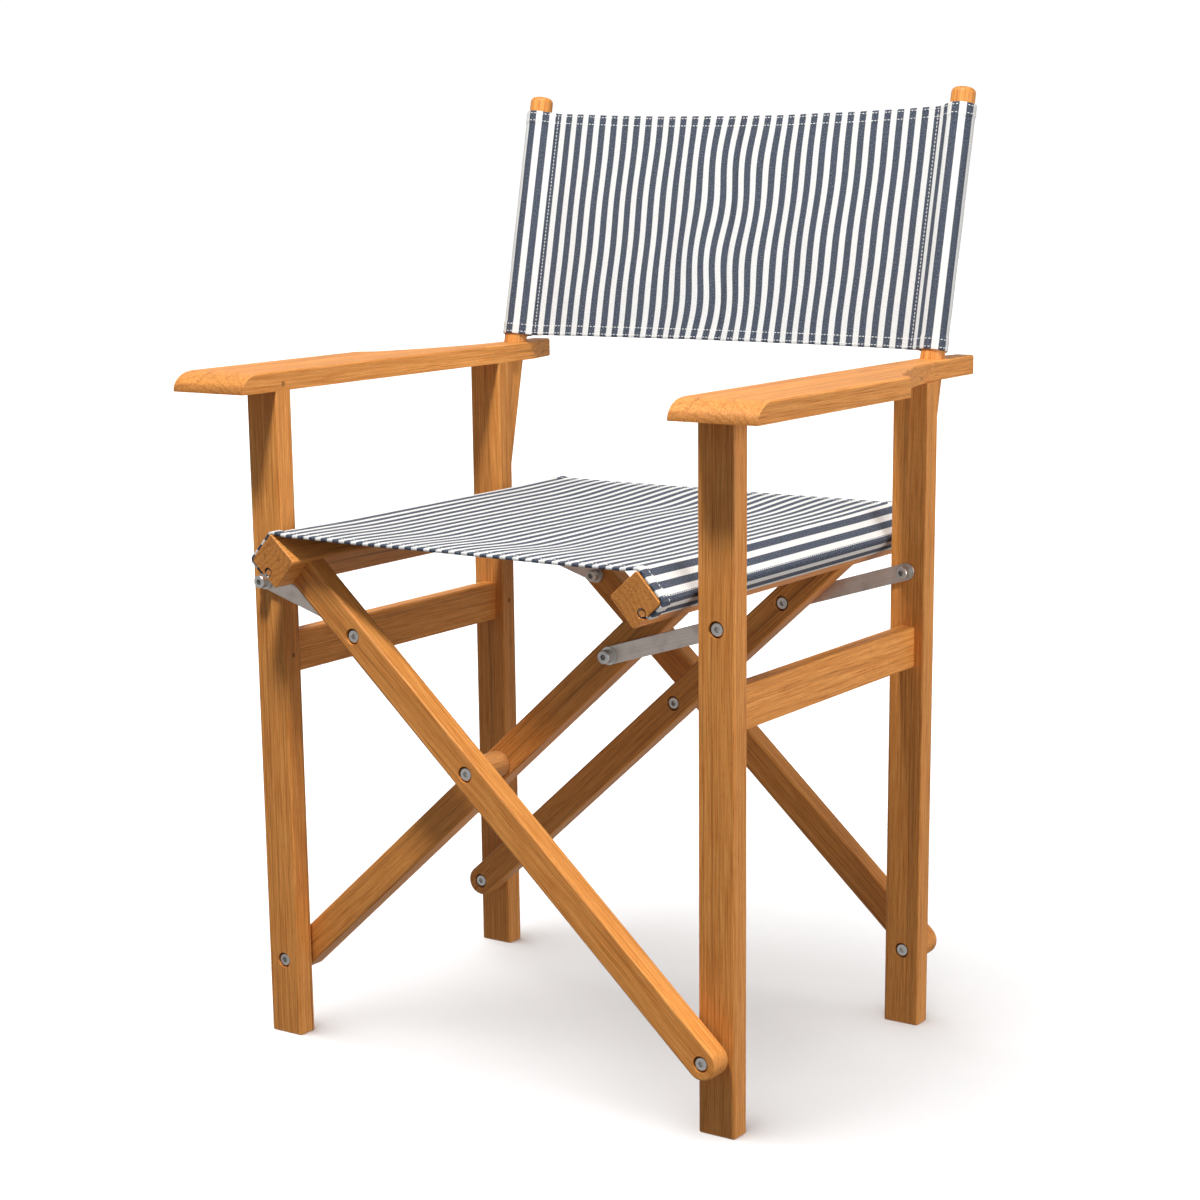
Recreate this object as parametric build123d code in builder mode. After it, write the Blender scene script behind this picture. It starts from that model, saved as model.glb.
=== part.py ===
"""Folding director's chair: two timber side frames, a scissor of two X-frames, a canvas seat and back.

Millimetres. +Z is up, -Y is the front, +X is the sitter's left. The origin is on the floor, under the
middle of the chair. Names with left and right mean the -X side and the +X side.
"""

import os
from math import atan2, cos, degrees, hypot, radians, sin

from build123d import *

os.makedirs("parts", exist_ok=True)

# ---------------------------------------------------------------- driving dimensions
LEG_WIDTH = 36.0            # along X
LEG_DEPTH = 21.0            # along Y
LEG_CENTRE_X = 244.0        # centre line of each leg, from the middle of the chair
FRONT_FACE_Y = -205.0       # front face of the front legs
LEG_PITCH_Y = 342.0         # front leg's front face to rear leg's front face
EDGE_RADIUS = 2.2           # softened long edges of the timber
END_CHAMFER = 0.6           # broken edges of sawn ends and bolt heads

ARM_UNDERSIDE = 620.0
ARM_THICKNESS = 18.0
ARM_WIDTH = 84.0
ARM_TAIL_WIDTH = 30.0
ARM_OVERHANG = 45.0         # in front of the front leg
ARM_LENGTH = 495.0
ARM_SHOULDER_START = 262.0  # from the nose, where the outer edge steps inwards
ARM_STEP_WIDTH = 16.0       # abrupt part of that step, across and along the arm
ARM_STEP_LENGTH = 12.0
ARM_STEP_RADIUS = 9.0       # rounding of the step's outer corner
ARM_HOLLOW_RADIUS = 6.0     # rounding where the step meets the sweep
ARM_SWEEP_LENGTH = 160.0    # hollow sweep from the step into the tail
ARM_SWEEP_SLOPE = 0.42      # sideways run of that sweep where it starts, per length
ARM_REAR_RADIUS = 3.0
ARM_CHAMFER_LENGTH = 46.0   # cut across the inner rear corner
ARM_CHAMFER_WIDTH = 11.0
NOSE_LENGTH = 28.0          # how far the rounded nose runs back along the top
NOSE_LIP = 1.5              # upright strip under the rounding
ARM_TENON_WIDTH = 22.0
ARM_TENON_DEPTH = 12.0
ARM_PIN_LENGTH = 7.0

STRETCHER_THICKNESS = 16.0
STRETCHER_HEIGHT = 39.0
STRETCHER_CENTRE_Z = 373.0
STRETCHER_TENON_THICKNESS = 10.0
STRETCHER_TENON_HEIGHT = 29.0
TENON_LENGTH = 12.0         # of every tenon

POST_DIAMETER = 23.0
POST_LEAN = 12.7            # degrees, top leans to the back
POST_CENTRE_X = 240.5
POST_BASE_Y = FRONT_FACE_Y + 392.0   # post axis at the top of the armrest
POST_TOP_Z = 884.0
FOOT_DEPTH = 26.0           # of the flat-sided foot, behind the rear leg, at the armrest
FOOT_BOTTOM_Z = 514.0
FOOT_TOE = 2.5              # thickness of the foot at its bottom
FOOT_SCREW_RISES = (32.0, 78.0)   # above the bottom of the foot
SCREW_DIAMETER = 4.0
SCREW_HEAD_DIAMETER = 8.0
SCREW_HEAD_THICKNESS = 1.6
SCREW_SINK = 2.2            # screw head's recess in the foot
SCREW_HEAD_GAP = 0.2        # round the head, on the radius
POST_TIP_RADIUS = 5.0

PIVOT_HEIGHT = 73.5         # bottom pivots of the X-frames
CROSSING_HEIGHT = 295.0     # the two pivots where the X-frames cross
BAR_WIDTH = 30.0
BAR_THICKNESS = 22.0
BAR_TENON_WIDTH = 14.0      # across the bar, narrow enough to miss the cloth groove
BAR_CHEEK = 4.0             # from a bar's face to its tenon
BAR_GAP = 4.0               # between a bar and the leg beside it
LINK_PIN_DISTANCE = 496.0   # bottom pivot to link pivot, along a bar
LINK_PIVOT_HEIGHT = 444.5   # link pivot on the legs
RAIL_DISTANCE = 593.5       # bottom pivot to rail centre, along a bar
RAIL_ALONG = 36.0           # rail section, in line with the bars
RAIL_ACROSS = 34.5          # rail section, square to the bars
RAIL_OVERHANG = 47.68       # beyond the legs, front and back
RAIL_CORNER_RADIUS = 2.6

GROOVE_RADIUS = 4.6         # round bottom of the canvas groove
GROOVE_DEPTH = 12.0         # groove axis from the rail centre, towards the groove's mouth
GROOVE_OFFSET = -2.4
GROOVE_MOUTH = 5.0
LOCKING_ROD_DIAMETER = 6.4

LINK_THICKNESS = 3.0
LINK_WIDTH = 16.0

BOLT_DIAMETER = 6.0
BOLT_RUNNING_GAP = 0.05     # on the radius, where a part turns on a bolt
HEAD_DIAMETER = 12.0
HEAD_THICKNESS = 4.5
RAISED_HEAD_THICKNESS = 8.5
RECESS_DIAMETER = 15.0
RECESS_DEPTH = 6.0
SOCKET_SIZE = 5.0           # across flats
WASHER_DIAMETER = 16.0
WASHER_THICKNESS = 1.4
NUT_SIZE = 10.6             # across flats
NUT_THICKNESS = 4.5
INSERT_DIAMETER = 9.0
INSERT_LENGTH = 12.0
SPACER_DIAMETER = 24.0
SEAT_GAP = 0.4              # between faces that turn past each other
LINK_GAP = 0.5              # between a link and the timber on either side
PIN_DIAMETER = 5.0

CANVAS = 1.4                # cloth thickness
CANVAS_GAP = 0.3            # air between cloth and the wood it lies on
CANVAS_INSET = 1.2          # seat cloth's edge from the rail's end
BACK_BOTTOM_Z = 645.0
BACK_TOP_Z = 869.0
BACK_THICKNESS = 2.4
SLEEVE_GAP = 0.35           # between a post and the sleeve around it
SEAT_SAG = 6.0
BACK_SAG = 8.0
HEM_LOOP_INNER = 3.5        # radius of the cloth loop around a locking rod
HEM_LOOP_OUTER = 4.3
HEM_LOOP_OVERLAP = 0.2      # the loop and the cloth beside it are one piece
HEM_SIDE_GAP = 1.5          # between the cloth in the groove's mouth and each lip
LIP_CLEARANCE = 0.6         # from the groove's axis to the cloth's turn into it
PANEL_SETBACK = 0.5         # from a sleeve's inner wall to the panel's end

# ---------------------------------------------------------------- places worked out from them
REAR_FACE_Y = FRONT_FACE_Y + LEG_PITCH_Y
LEG_INNER_X = LEG_CENTRE_X - LEG_WIDTH / 2
LEG_PIN_LENGTH = 0.6 * LEG_WIDTH
CUT_MARGIN = 1.0            # how far a cut runs past the face it opens
CUT_REACH = 100.0           # deeper than any piece it trims
RISE = CROSSING_HEIGHT - PIVOT_HEIGHT
BAR_ANGLE = degrees(atan2(RISE, LEG_CENTRE_X))
HALF_BAR = hypot(RISE, LEG_CENTRE_X)
BAR_COS = cos(radians(BAR_ANGLE))
BAR_SIN = sin(radians(BAR_ANGLE))
RAIL_LENGTH = LEG_PITCH_Y + LEG_DEPTH + 2 * RAIL_OVERHANG
MIDDLE_Y = FRONT_FACE_Y + (LEG_PITCH_Y + LEG_DEPTH) / 2

# front faces of the four bars: A and D on the outer X-frame, B and C on the inner one
BAR_A_Y = FRONT_FACE_Y - BAR_GAP - BAR_THICKNESS
BAR_B_Y = FRONT_FACE_Y + LEG_DEPTH + BAR_GAP
BAR_C_Y = REAR_FACE_Y - BAR_GAP - BAR_THICKNESS
BAR_D_Y = REAR_FACE_Y + LEG_DEPTH + BAR_GAP


def save(part, label):
    """Label a finished piece and write it."""
    part.label = label
    export_step(part, f"parts/{label}.step")


def along_y(x, z, y):
    """A plane facing the front (-Y) at depth y, centred on x and z."""
    return Plane(origin=(x, y, z), x_dir=(1, 0, 0), z_dir=(0, -1, 0))


def on_bar(side, distance):
    """Point on the centre line of a bar whose bottom pivot is on the given side's leg."""
    x = side * (LEG_CENTRE_X - distance * BAR_COS)
    return x, PIVOT_HEIGHT + distance * BAR_SIN


def disc(x, z, y_from, y_to, radius):
    """A round solid along Y, for hole cutters and for shanks, heads and washers."""
    with BuildPart() as solid:
        with BuildSketch(along_y(x, z, y_from)):
            Circle(radius)
        extrude(amount=y_from - y_to)
    return solid.part


def ring(x, z, y_from, y_to, radius, bore):
    """A washer or a sleeve along Y."""
    with BuildPart() as solid:
        with BuildSketch(along_y(x, z, y_from)):
            Circle(radius)
            Circle(bore, mode=Mode.SUBTRACT)
        extrude(amount=y_from - y_to)
    return solid.part


def socket_bolt(x, z, face_y, head, tip_y):
    """Socket bolt, head facing the front with its face at face_y, shank running back to tip_y."""
    with BuildPart() as bolt:
        with BuildSketch(along_y(x, z, face_y)):
            Circle(HEAD_DIAMETER / 2)
        extrude(amount=-head)
        chamfer(bolt.edges().group_by(Axis.Y)[0], END_CHAMFER)
        with BuildSketch(along_y(x, z, face_y)):
            RegularPolygon(SOCKET_SIZE / 2, 6, major_radius=False)
        extrude(amount=-head * 0.6, mode=Mode.SUBTRACT)
        with BuildSketch(along_y(x, z, face_y + head)):
            Circle(BOLT_DIAMETER / 2)
        extrude(amount=face_y + head - tip_y)
    return bolt.part


def nut(x, z, y):
    """Hexagon nut whose front face is at y."""
    with BuildPart() as solid:
        with BuildSketch(along_y(x, z, y)):
            RegularPolygon(NUT_SIZE / 2, 6, major_radius=False)
            Circle(BOLT_DIAMETER / 2, mode=Mode.SUBTRACT)
        extrude(amount=-NUT_THICKNESS)
    return solid.part


def save_group(solids, name):
    """Write several separate solids of one kind as one node."""
    with BuildPart() as group:
        for solid in solids:
            add(solid)
    save(group.part, name)


# ---------------------------------------------------------------- side frames
def leg(side, front_y, name, head_height, nut_height):
    """Upright with a tenon on top, a stretcher mortise and two bolt holes.

    At head_height a bolt head is let into the front face, at nut_height a nut into the back face.
    """
    x = side * LEG_CENTRE_X
    with BuildPart() as upright:
        with BuildSketch():
            with Locations((x, front_y + LEG_DEPTH / 2)):
                Rectangle(LEG_WIDTH, LEG_DEPTH)
        extrude(amount=ARM_UNDERSIDE)
        fillet(upright.edges().filter_by(Axis.Z), EDGE_RADIUS)
        chamfer(upright.faces().sort_by(Axis.Z)[0].edges(), 1.0)
        with BuildSketch(Plane.XY.offset(ARM_UNDERSIDE)):
            with Locations((x, front_y + LEG_DEPTH / 2)):
                Rectangle(ARM_TENON_WIDTH, ARM_TENON_DEPTH)
        extrude(amount=TENON_LENGTH)
        back_y = front_y + LEG_DEPTH
        for height in (head_height, nut_height):
            add(disc(x, height, front_y - 1, back_y + 1, BOLT_DIAMETER / 2), mode=Mode.SUBTRACT)
        add(disc(x, head_height, front_y - 1, front_y + RECESS_DEPTH, RECESS_DIAMETER / 2), mode=Mode.SUBTRACT)
        add(disc(x, nut_height, back_y - RECESS_DEPTH, back_y + 1, RECESS_DIAMETER / 2), mode=Mode.SUBTRACT)
        inward = 1 if front_y < MIDDLE_Y else -1
        mortise_y = front_y + LEG_DEPTH if inward > 0 else front_y
        with BuildSketch(Plane(origin=(x, mortise_y, STRETCHER_CENTRE_Z), x_dir=(1, 0, 0), z_dir=(0, 1, 0))):
            Rectangle(STRETCHER_TENON_THICKNESS, STRETCHER_TENON_HEIGHT)
        extrude(amount=-inward * TENON_LENGTH, mode=Mode.SUBTRACT)
        with BuildSketch(Plane(origin=(side * LEG_INNER_X, front_y + LEG_DEPTH / 2, STRETCHER_CENTRE_Z),
                               x_dir=(0, 1, 0), z_dir=(side, 0, 0))):
            Circle(PIN_DIAMETER / 2)
        extrude(amount=LEG_PIN_LENGTH, mode=Mode.SUBTRACT)
    save(upright.part, name)


def stretcher(side, name):
    """Mid rail of a side frame, tenoned into both legs, with a pin hole through each tenon."""
    x = side * LEG_CENTRE_X
    front = FRONT_FACE_Y + LEG_DEPTH
    length = LEG_PITCH_Y - LEG_DEPTH
    with BuildPart() as rail:
        with BuildSketch(Plane(origin=(x, front, STRETCHER_CENTRE_Z), x_dir=(1, 0, 0), z_dir=(0, 1, 0))):
            Rectangle(STRETCHER_THICKNESS, STRETCHER_HEIGHT)
        extrude(amount=length)
        fillet(rail.edges().filter_by(Axis.Y), EDGE_RADIUS)
        with BuildSketch(Plane(origin=(x, front - TENON_LENGTH, STRETCHER_CENTRE_Z), x_dir=(1, 0, 0),
                               z_dir=(0, 1, 0))):
            Rectangle(STRETCHER_TENON_THICKNESS, STRETCHER_TENON_HEIGHT)
        extrude(amount=length + 2 * TENON_LENGTH)
        for pin_y in (front - LEG_DEPTH / 2, front + length + LEG_DEPTH / 2):
            with BuildSketch(Plane(origin=(x, pin_y, STRETCHER_CENTRE_Z), x_dir=(0, 1, 0), z_dir=(1, 0, 0))):
                Circle(PIN_DIAMETER / 2)
            extrude(amount=STRETCHER_THICKNESS, both=True, mode=Mode.SUBTRACT)
    save(rail.part, name)


def armrest(side, name):
    """Flat arm: bull-nosed front, outer edge stepping in to a narrow tail, chamfered inner rear corner."""
    inner = side * LEG_INNER_X
    outer = inner + side * ARM_WIDTH
    tail = inner + side * ARM_TAIL_WIDTH
    front = FRONT_FACE_Y - ARM_OVERHANG
    back = front + ARM_LENGTH
    shoulder = front + ARM_SHOULDER_START
    step = (outer - side * ARM_STEP_WIDTH, shoulder + ARM_STEP_LENGTH)
    neck = step[1] + ARM_SWEEP_LENGTH
    with BuildPart() as arm:
        with BuildSketch(Plane.XY.offset(ARM_UNDERSIDE)):
            with BuildLine():
                Polyline(step, (outer, shoulder), (outer, front), (inner, front),
                         (inner, back - ARM_CHAMFER_LENGTH), (inner + side * ARM_CHAMFER_WIDTH, back),
                         (tail, back), (tail, neck))
                Spline((tail, neck), step, tangents=((0, -1), (side * ARM_SWEEP_SLOPE, -1)))
            make_face()
        extrude(amount=ARM_THICKNESS)
        corners = arm.edges().filter_by(Axis.Z)
        fillet(corners.group_by(Axis.Y)[-1], ARM_REAR_RADIUS)
        fillet(corners.sort_by_distance((outer, shoulder, ARM_UNDERSIDE))[0], ARM_STEP_RADIUS)
        corners = arm.edges().filter_by(Axis.Z)
        fillet(corners.sort_by_distance((*step, ARM_UNDERSIDE))[0], ARM_HOLLOW_RADIUS)
        fillet(arm.faces().sort_by(Axis.Z)[-1].edges(), EDGE_RADIUS)
        nose = Plane(origin=(inner, front, ARM_UNDERSIDE), x_dir=(0, 1, 0), z_dir=(1, 0, 0))
        with BuildSketch(nose):
            with BuildLine():
                EllipticalCenterArc((NOSE_LENGTH, NOSE_LIP), NOSE_LENGTH, ARM_THICKNESS - NOSE_LIP,
                                    start_angle=90, arc_size=90)
                above = ARM_THICKNESS + CUT_MARGIN
                Polyline((NOSE_LENGTH, ARM_THICKNESS), (NOSE_LENGTH, above), (-CUT_MARGIN, above),
                         (-CUT_MARGIN, NOSE_LIP), (0, NOSE_LIP))
            make_face()
        extrude(amount=2 * ARM_WIDTH, both=True, mode=Mode.SUBTRACT)
        for leg_y in (FRONT_FACE_Y, REAR_FACE_Y):
            with BuildSketch(Plane.XY.offset(ARM_UNDERSIDE)):
                with Locations((side * LEG_CENTRE_X, leg_y + LEG_DEPTH / 2)):
                    Rectangle(ARM_TENON_WIDTH, ARM_TENON_DEPTH)
            extrude(amount=TENON_LENGTH, mode=Mode.SUBTRACT)
        with BuildSketch(Plane(origin=(inner, FRONT_FACE_Y + LEG_DEPTH / 2, ARM_UNDERSIDE + TENON_LENGTH / 2),
                               x_dir=(0, 1, 0), z_dir=(side, 0, 0))):
            Circle(PIN_DIAMETER / 2)
        extrude(amount=ARM_PIN_LENGTH, mode=Mode.SUBTRACT)
        with BuildSketch(post_plane(side)):
            Circle(POST_DIAMETER / 2)
        extrude(amount=CUT_REACH, both=True, mode=Mode.SUBTRACT)
    save(arm.part, name)


def post_plane(side):
    """Plane square to a post's axis, where that axis meets the top of the armrest."""
    lean = radians(POST_LEAN)
    return Plane(origin=(side * POST_CENTRE_X, POST_BASE_Y, ARM_UNDERSIDE + ARM_THICKNESS),
                 x_dir=(1, 0, 0), z_dir=(0, sin(lean), cos(lean)))


def back_post(side, name):
    """Leaning round post; below the armrest a flat-sided foot lies against the rear leg."""
    length = (POST_TOP_Z - ARM_UNDERSIDE - ARM_THICKNESS) / cos(radians(POST_LEAN))
    x = side * POST_CENTRE_X
    leg_back = REAR_FACE_Y + LEG_DEPTH
    with BuildPart() as post:
        with BuildSketch(post_plane(side)):
            Circle(POST_DIAMETER / 2)
        extrude(amount=length)
        fillet(post.edges().group_by(Axis.Z)[-1], POST_TIP_RADIUS)
        with BuildSketch(post_plane(side)):
            Circle(POST_DIAMETER / 2)
        extrude(amount=-ARM_THICKNESS - POST_DIAMETER)
        with BuildSketch(Plane.XY.offset(ARM_UNDERSIDE)):
            with Locations((x, POST_BASE_Y)):
                Rectangle(CUT_REACH, CUT_REACH)
        extrude(amount=-CUT_REACH, mode=Mode.SUBTRACT)
        with BuildSketch(Plane(origin=(x, 0, 0), x_dir=(0, 1, 0), z_dir=(1, 0, 0))):
            with BuildLine():
                Polyline((leg_back, ARM_UNDERSIDE), (leg_back + FOOT_DEPTH, ARM_UNDERSIDE),
                         (leg_back + FOOT_TOE, FOOT_BOTTOM_Z), (leg_back, FOOT_BOTTOM_Z), close=True)
            make_face()
        extrude(amount=POST_DIAMETER / 2, both=True)
        for height in (FOOT_BOTTOM_Z + rise for rise in FOOT_SCREW_RISES):
            past = leg_back + CUT_REACH
            add(disc(x, height, leg_back - CUT_MARGIN, past, SCREW_DIAMETER / 2), mode=Mode.SUBTRACT)
            add(disc(x, height, foot_back(height) - SCREW_SINK, past, SCREW_HEAD_DIAMETER / 2 + SCREW_HEAD_GAP),
                mode=Mode.SUBTRACT)
    save(post.part, name)


def foot_back(height):
    """Depth (Y) of the foot's sloping back at a height."""
    leg_back = REAR_FACE_Y + LEG_DEPTH
    share = (height - FOOT_BOTTOM_Z) / (ARM_UNDERSIDE - FOOT_BOTTOM_Z)
    return leg_back + FOOT_TOE + (FOOT_DEPTH - FOOT_TOE) * share


def frame_pins(side, name):
    """Small dowels that lock the side frame's tenons: stretcher front and rear, armrest front."""
    with BuildPart() as pins:
        for y in (FRONT_FACE_Y + LEG_DEPTH / 2, REAR_FACE_Y + LEG_DEPTH / 2):
            with BuildSketch(Plane(origin=(side * LEG_INNER_X, y, STRETCHER_CENTRE_Z), x_dir=(0, 1, 0),
                                   z_dir=(side, 0, 0))):
                Circle(PIN_DIAMETER / 2)
            extrude(amount=LEG_PIN_LENGTH)
        with BuildSketch(Plane(origin=(side * LEG_INNER_X, FRONT_FACE_Y + LEG_DEPTH / 2,
                                       ARM_UNDERSIDE + TENON_LENGTH / 2), x_dir=(0, 1, 0),
                               z_dir=(side, 0, 0))):
            Circle(PIN_DIAMETER / 2)
        extrude(amount=ARM_PIN_LENGTH)
    save(pins.part, name)


def post_screws(side, name):
    """Two countersunk screws that hold the post's foot to the rear leg."""
    leg_back = REAR_FACE_Y + LEG_DEPTH
    with BuildPart() as screws:
        for height in (FOOT_BOTTOM_Z + rise for rise in FOOT_SCREW_RISES):
            head_y = foot_back(height) - SCREW_SINK
            x, under_head = side * POST_CENTRE_X, head_y + SCREW_HEAD_THICKNESS
            add(disc(x, height, head_y, under_head, SCREW_HEAD_DIAMETER / 2))
            add(disc(x, height, leg_back, head_y, SCREW_DIAMETER / 2))
    save(screws.part, name)


def link_first(side, front_y):
    """True for the two legs whose link lies on their front face: front left and rear right."""
    return (side < 0) == (front_y == FRONT_FACE_Y)


for side, word in ((-1, "left"), (1, "right")):
    for front_y, place in ((FRONT_FACE_Y, "front"), (REAR_FACE_Y, "rear")):
        heights = (PIVOT_HEIGHT, LINK_PIVOT_HEIGHT)
        head_height, nut_height = heights if link_first(side, front_y) else heights[::-1]
        leg(side, front_y, f"{place}_leg_{word}", head_height, nut_height)
    stretcher(side, f"stretcher_{word}")
    armrest(side, f"armrest_{word}")
    back_post(side, f"back_post_{word}")
    frame_pins(side, f"tenon_pins_{word}")
    post_screws(side, f"post_screws_{word}")


# ---------------------------------------------------------------- X-frames
def bar_plane(side, y):
    """Plane at depth y with its origin on a bar's bottom pivot, its X along the bar, facing the back."""
    return Plane(origin=(side * LEG_CENTRE_X, y, PIVOT_HEIGHT), x_dir=(-side * BAR_COS, 0, BAR_SIN),
                 z_dir=(0, 1, 0))


def bar(side, front_y, name, heads_in_front):
    """Cross bar: round bottom end, tenon at the top, holes for its bottom, crossing and link bolts.

    Bars with their bolt heads in front have three recesses there. The others have nut recesses
    behind the two lower holes, and a bore in front for the threaded insert of the link bolt.
    """
    shoulder = RAIL_DISTANCE - RAIL_ALONG / 2
    back_y = front_y + BAR_THICKNESS
    with BuildPart() as solid:
        with BuildSketch(bar_plane(side, front_y)):
            with Locations((shoulder / 2, 0)):
                Rectangle(shoulder, BAR_WIDTH)
            Circle(BAR_WIDTH / 2)
        extrude(amount=BAR_THICKNESS)
        rims = solid.faces().filter_by(Axis.Y).edges()
        fillet(rims.filter_by(lambda edge: edge.geom_type == GeomType.CIRCLE or edge.length > shoulder / 2),
               EDGE_RADIUS)
        with BuildSketch(bar_plane(side, front_y + BAR_CHEEK)):
            with Locations((shoulder + TENON_LENGTH / 2 - 1, 0)):
                Rectangle(TENON_LENGTH + 2, BAR_TENON_WIDTH)
        extrude(amount=BAR_THICKNESS - 2 * BAR_CHEEK)
        running = BOLT_DIAMETER / 2 + BOLT_RUNNING_GAP
        for distance in (0, HALF_BAR):
            x, z = on_bar(side, distance)
            add(disc(x, z, front_y - 1, back_y + 1, running), mode=Mode.SUBTRACT)
            recess_from = front_y - 1 if heads_in_front else back_y - RECESS_DEPTH
            add(disc(x, z, recess_from, recess_from + RECESS_DEPTH + 1, RECESS_DIAMETER / 2),
                mode=Mode.SUBTRACT)
        x, z = on_bar(side, LINK_PIN_DISTANCE)
        if heads_in_front:
            add(disc(x, z, front_y - 1, front_y + RECESS_DEPTH, RECESS_DIAMETER / 2), mode=Mode.SUBTRACT)
            add(disc(x, z, front_y - 1, back_y + 1, BOLT_DIAMETER / 2), mode=Mode.SUBTRACT)
        else:
            add(disc(x, z, front_y - 1, front_y + INSERT_LENGTH, INSERT_DIAMETER / 2), mode=Mode.SUBTRACT)
    save(solid.part, name)


def groove_centre(side):
    """Axis of the cloth groove, in a bar plane's own coordinates."""
    return RAIL_DISTANCE + GROOVE_OFFSET, -side * GROOVE_DEPTH


def seat_rail(side, name, bar_front_faces):
    """Rail that carries one edge of the seat cloth: mortised for two bars, grooved for the cloth's rod.

    side is the side of the bars' bottom pivots, so the rail itself is on the other side.
    """
    front_end = bar_plane(side, FRONT_FACE_Y - RAIL_OVERHANG)
    with BuildPart() as rail:
        with BuildSketch(front_end):
            with Locations((RAIL_DISTANCE, 0)):
                RectangleRounded(RAIL_ALONG, RAIL_ACROSS, RAIL_CORNER_RADIUS)
        extrude(amount=RAIL_LENGTH)
        chamfer(rail.faces().filter_by(Axis.Y).edges(), END_CHAMFER)
        for front_y in bar_front_faces:
            with BuildSketch(bar_plane(side, front_y + BAR_CHEEK)):
                with Locations((RAIL_DISTANCE - RAIL_ALONG / 2 + TENON_LENGTH / 2 - 1, 0)):
                    Rectangle(TENON_LENGTH + 2, BAR_TENON_WIDTH)
            extrude(amount=BAR_THICKNESS - 2 * BAR_CHEEK, mode=Mode.SUBTRACT)
        along, across = groove_centre(side)
        with BuildSketch(front_end):
            with Locations((along, across)):
                Circle(GROOVE_RADIUS)
            with Locations((along, across * 1.5)):
                Rectangle(GROOVE_MOUTH, GROOVE_DEPTH)
        extrude(amount=RAIL_LENGTH, mode=Mode.SUBTRACT)
    save(rail.part, name)


def locking_rod(side, name):
    """Round rod inside the cloth's looped hem, in the rail's groove."""
    with BuildPart() as rod:
        with BuildSketch(bar_plane(side, FRONT_FACE_Y - RAIL_OVERHANG + 1)):
            with Locations(groove_centre(side)):
                Circle(LOCKING_ROD_DIAMETER / 2)
        extrude(amount=RAIL_LENGTH - 2)
        chamfer(rod.faces().filter_by(Axis.Y).edges(), 0.5)
    save(rod.part, name)


bar(1, BAR_A_Y, "outer_front_bar", heads_in_front=True)
bar(1, BAR_D_Y, "outer_rear_bar", heads_in_front=False)
bar(-1, BAR_B_Y, "inner_front_bar", heads_in_front=False)
bar(-1, BAR_C_Y, "inner_rear_bar", heads_in_front=True)
seat_rail(1, "seat_rail_left", (BAR_A_Y, BAR_D_Y))
seat_rail(-1, "seat_rail_right", (BAR_B_Y, BAR_C_Y))
locking_rod(1, "locking_rod_left")
locking_rod(-1, "locking_rod_right")


# ---------------------------------------------------------------- pivots and links
def frame_hardware(side, word):
    """Bolts, nuts and washers fixed to one side frame: two bottom pivots and two link pivots."""
    x = side * LEG_CENTRE_X
    bolts, nuts, washers = [], [], []
    for front_y in (FRONT_FACE_Y, REAR_FACE_Y):
        back_y = front_y + LEG_DEPTH
        if link_first(side, front_y):
            # bar behind the leg: head in the leg, nut in the bar's back
            nut_y = back_y + BAR_GAP + BAR_THICKNESS - RECESS_DEPTH + SEAT_GAP
            bolts.append(socket_bolt(x, PIVOT_HEIGHT, front_y + RECESS_DEPTH - HEAD_THICKNESS,
                                     HEAD_THICKNESS, nut_y + NUT_THICKNESS))
            nuts.append(nut(x, PIVOT_HEIGHT, nut_y))
            washer_y = back_y + SEAT_GAP
            # link in front of the leg under a raised head, nut in the leg's back
            washer_back = front_y - LINK_GAP - LINK_THICKNESS - SEAT_GAP
            head_back = washer_back - WASHER_THICKNESS
            nut_y = back_y - RECESS_DEPTH
            bolts.append(socket_bolt(x, LINK_PIVOT_HEIGHT, head_back - RAISED_HEAD_THICKNESS,
                                     RAISED_HEAD_THICKNESS, nut_y + NUT_THICKNESS))
            nuts.append(nut(x, LINK_PIVOT_HEIGHT, nut_y))
            washers.append(ring(x, LINK_PIVOT_HEIGHT, head_back, washer_back,
                                WASHER_DIAMETER / 2, BOLT_DIAMETER / 2))
        else:
            # bar in front of the leg: head in the bar, nut in the leg's back
            nut_y = back_y - RECESS_DEPTH
            head_y = front_y - BAR_GAP - BAR_THICKNESS + RECESS_DEPTH - SEAT_GAP - HEAD_THICKNESS
            bolts.append(socket_bolt(x, PIVOT_HEIGHT, head_y, HEAD_THICKNESS, nut_y + NUT_THICKNESS))
            nuts.append(nut(x, PIVOT_HEIGHT, nut_y))
            washer_y = front_y - BAR_GAP + SEAT_GAP
            # link behind the leg: head in the leg, nut behind the link
            nut_y = back_y + LINK_GAP + LINK_THICKNESS + SEAT_GAP
            bolts.append(socket_bolt(x, LINK_PIVOT_HEIGHT, front_y + RECESS_DEPTH - HEAD_THICKNESS,
                                     HEAD_THICKNESS, nut_y + NUT_THICKNESS))
            nuts.append(nut(x, LINK_PIVOT_HEIGHT, nut_y))
        washers.append(ring(x, PIVOT_HEIGHT, washer_y, washer_y + BAR_GAP - 2 * SEAT_GAP,
                            WASHER_DIAMETER / 2, BOLT_DIAMETER / 2))
    save_group(bolts, f"leg_bolts_{word}")
    save_group(nuts, f"leg_nuts_{word}")
    save_group(washers, f"leg_washers_{word}")


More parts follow.
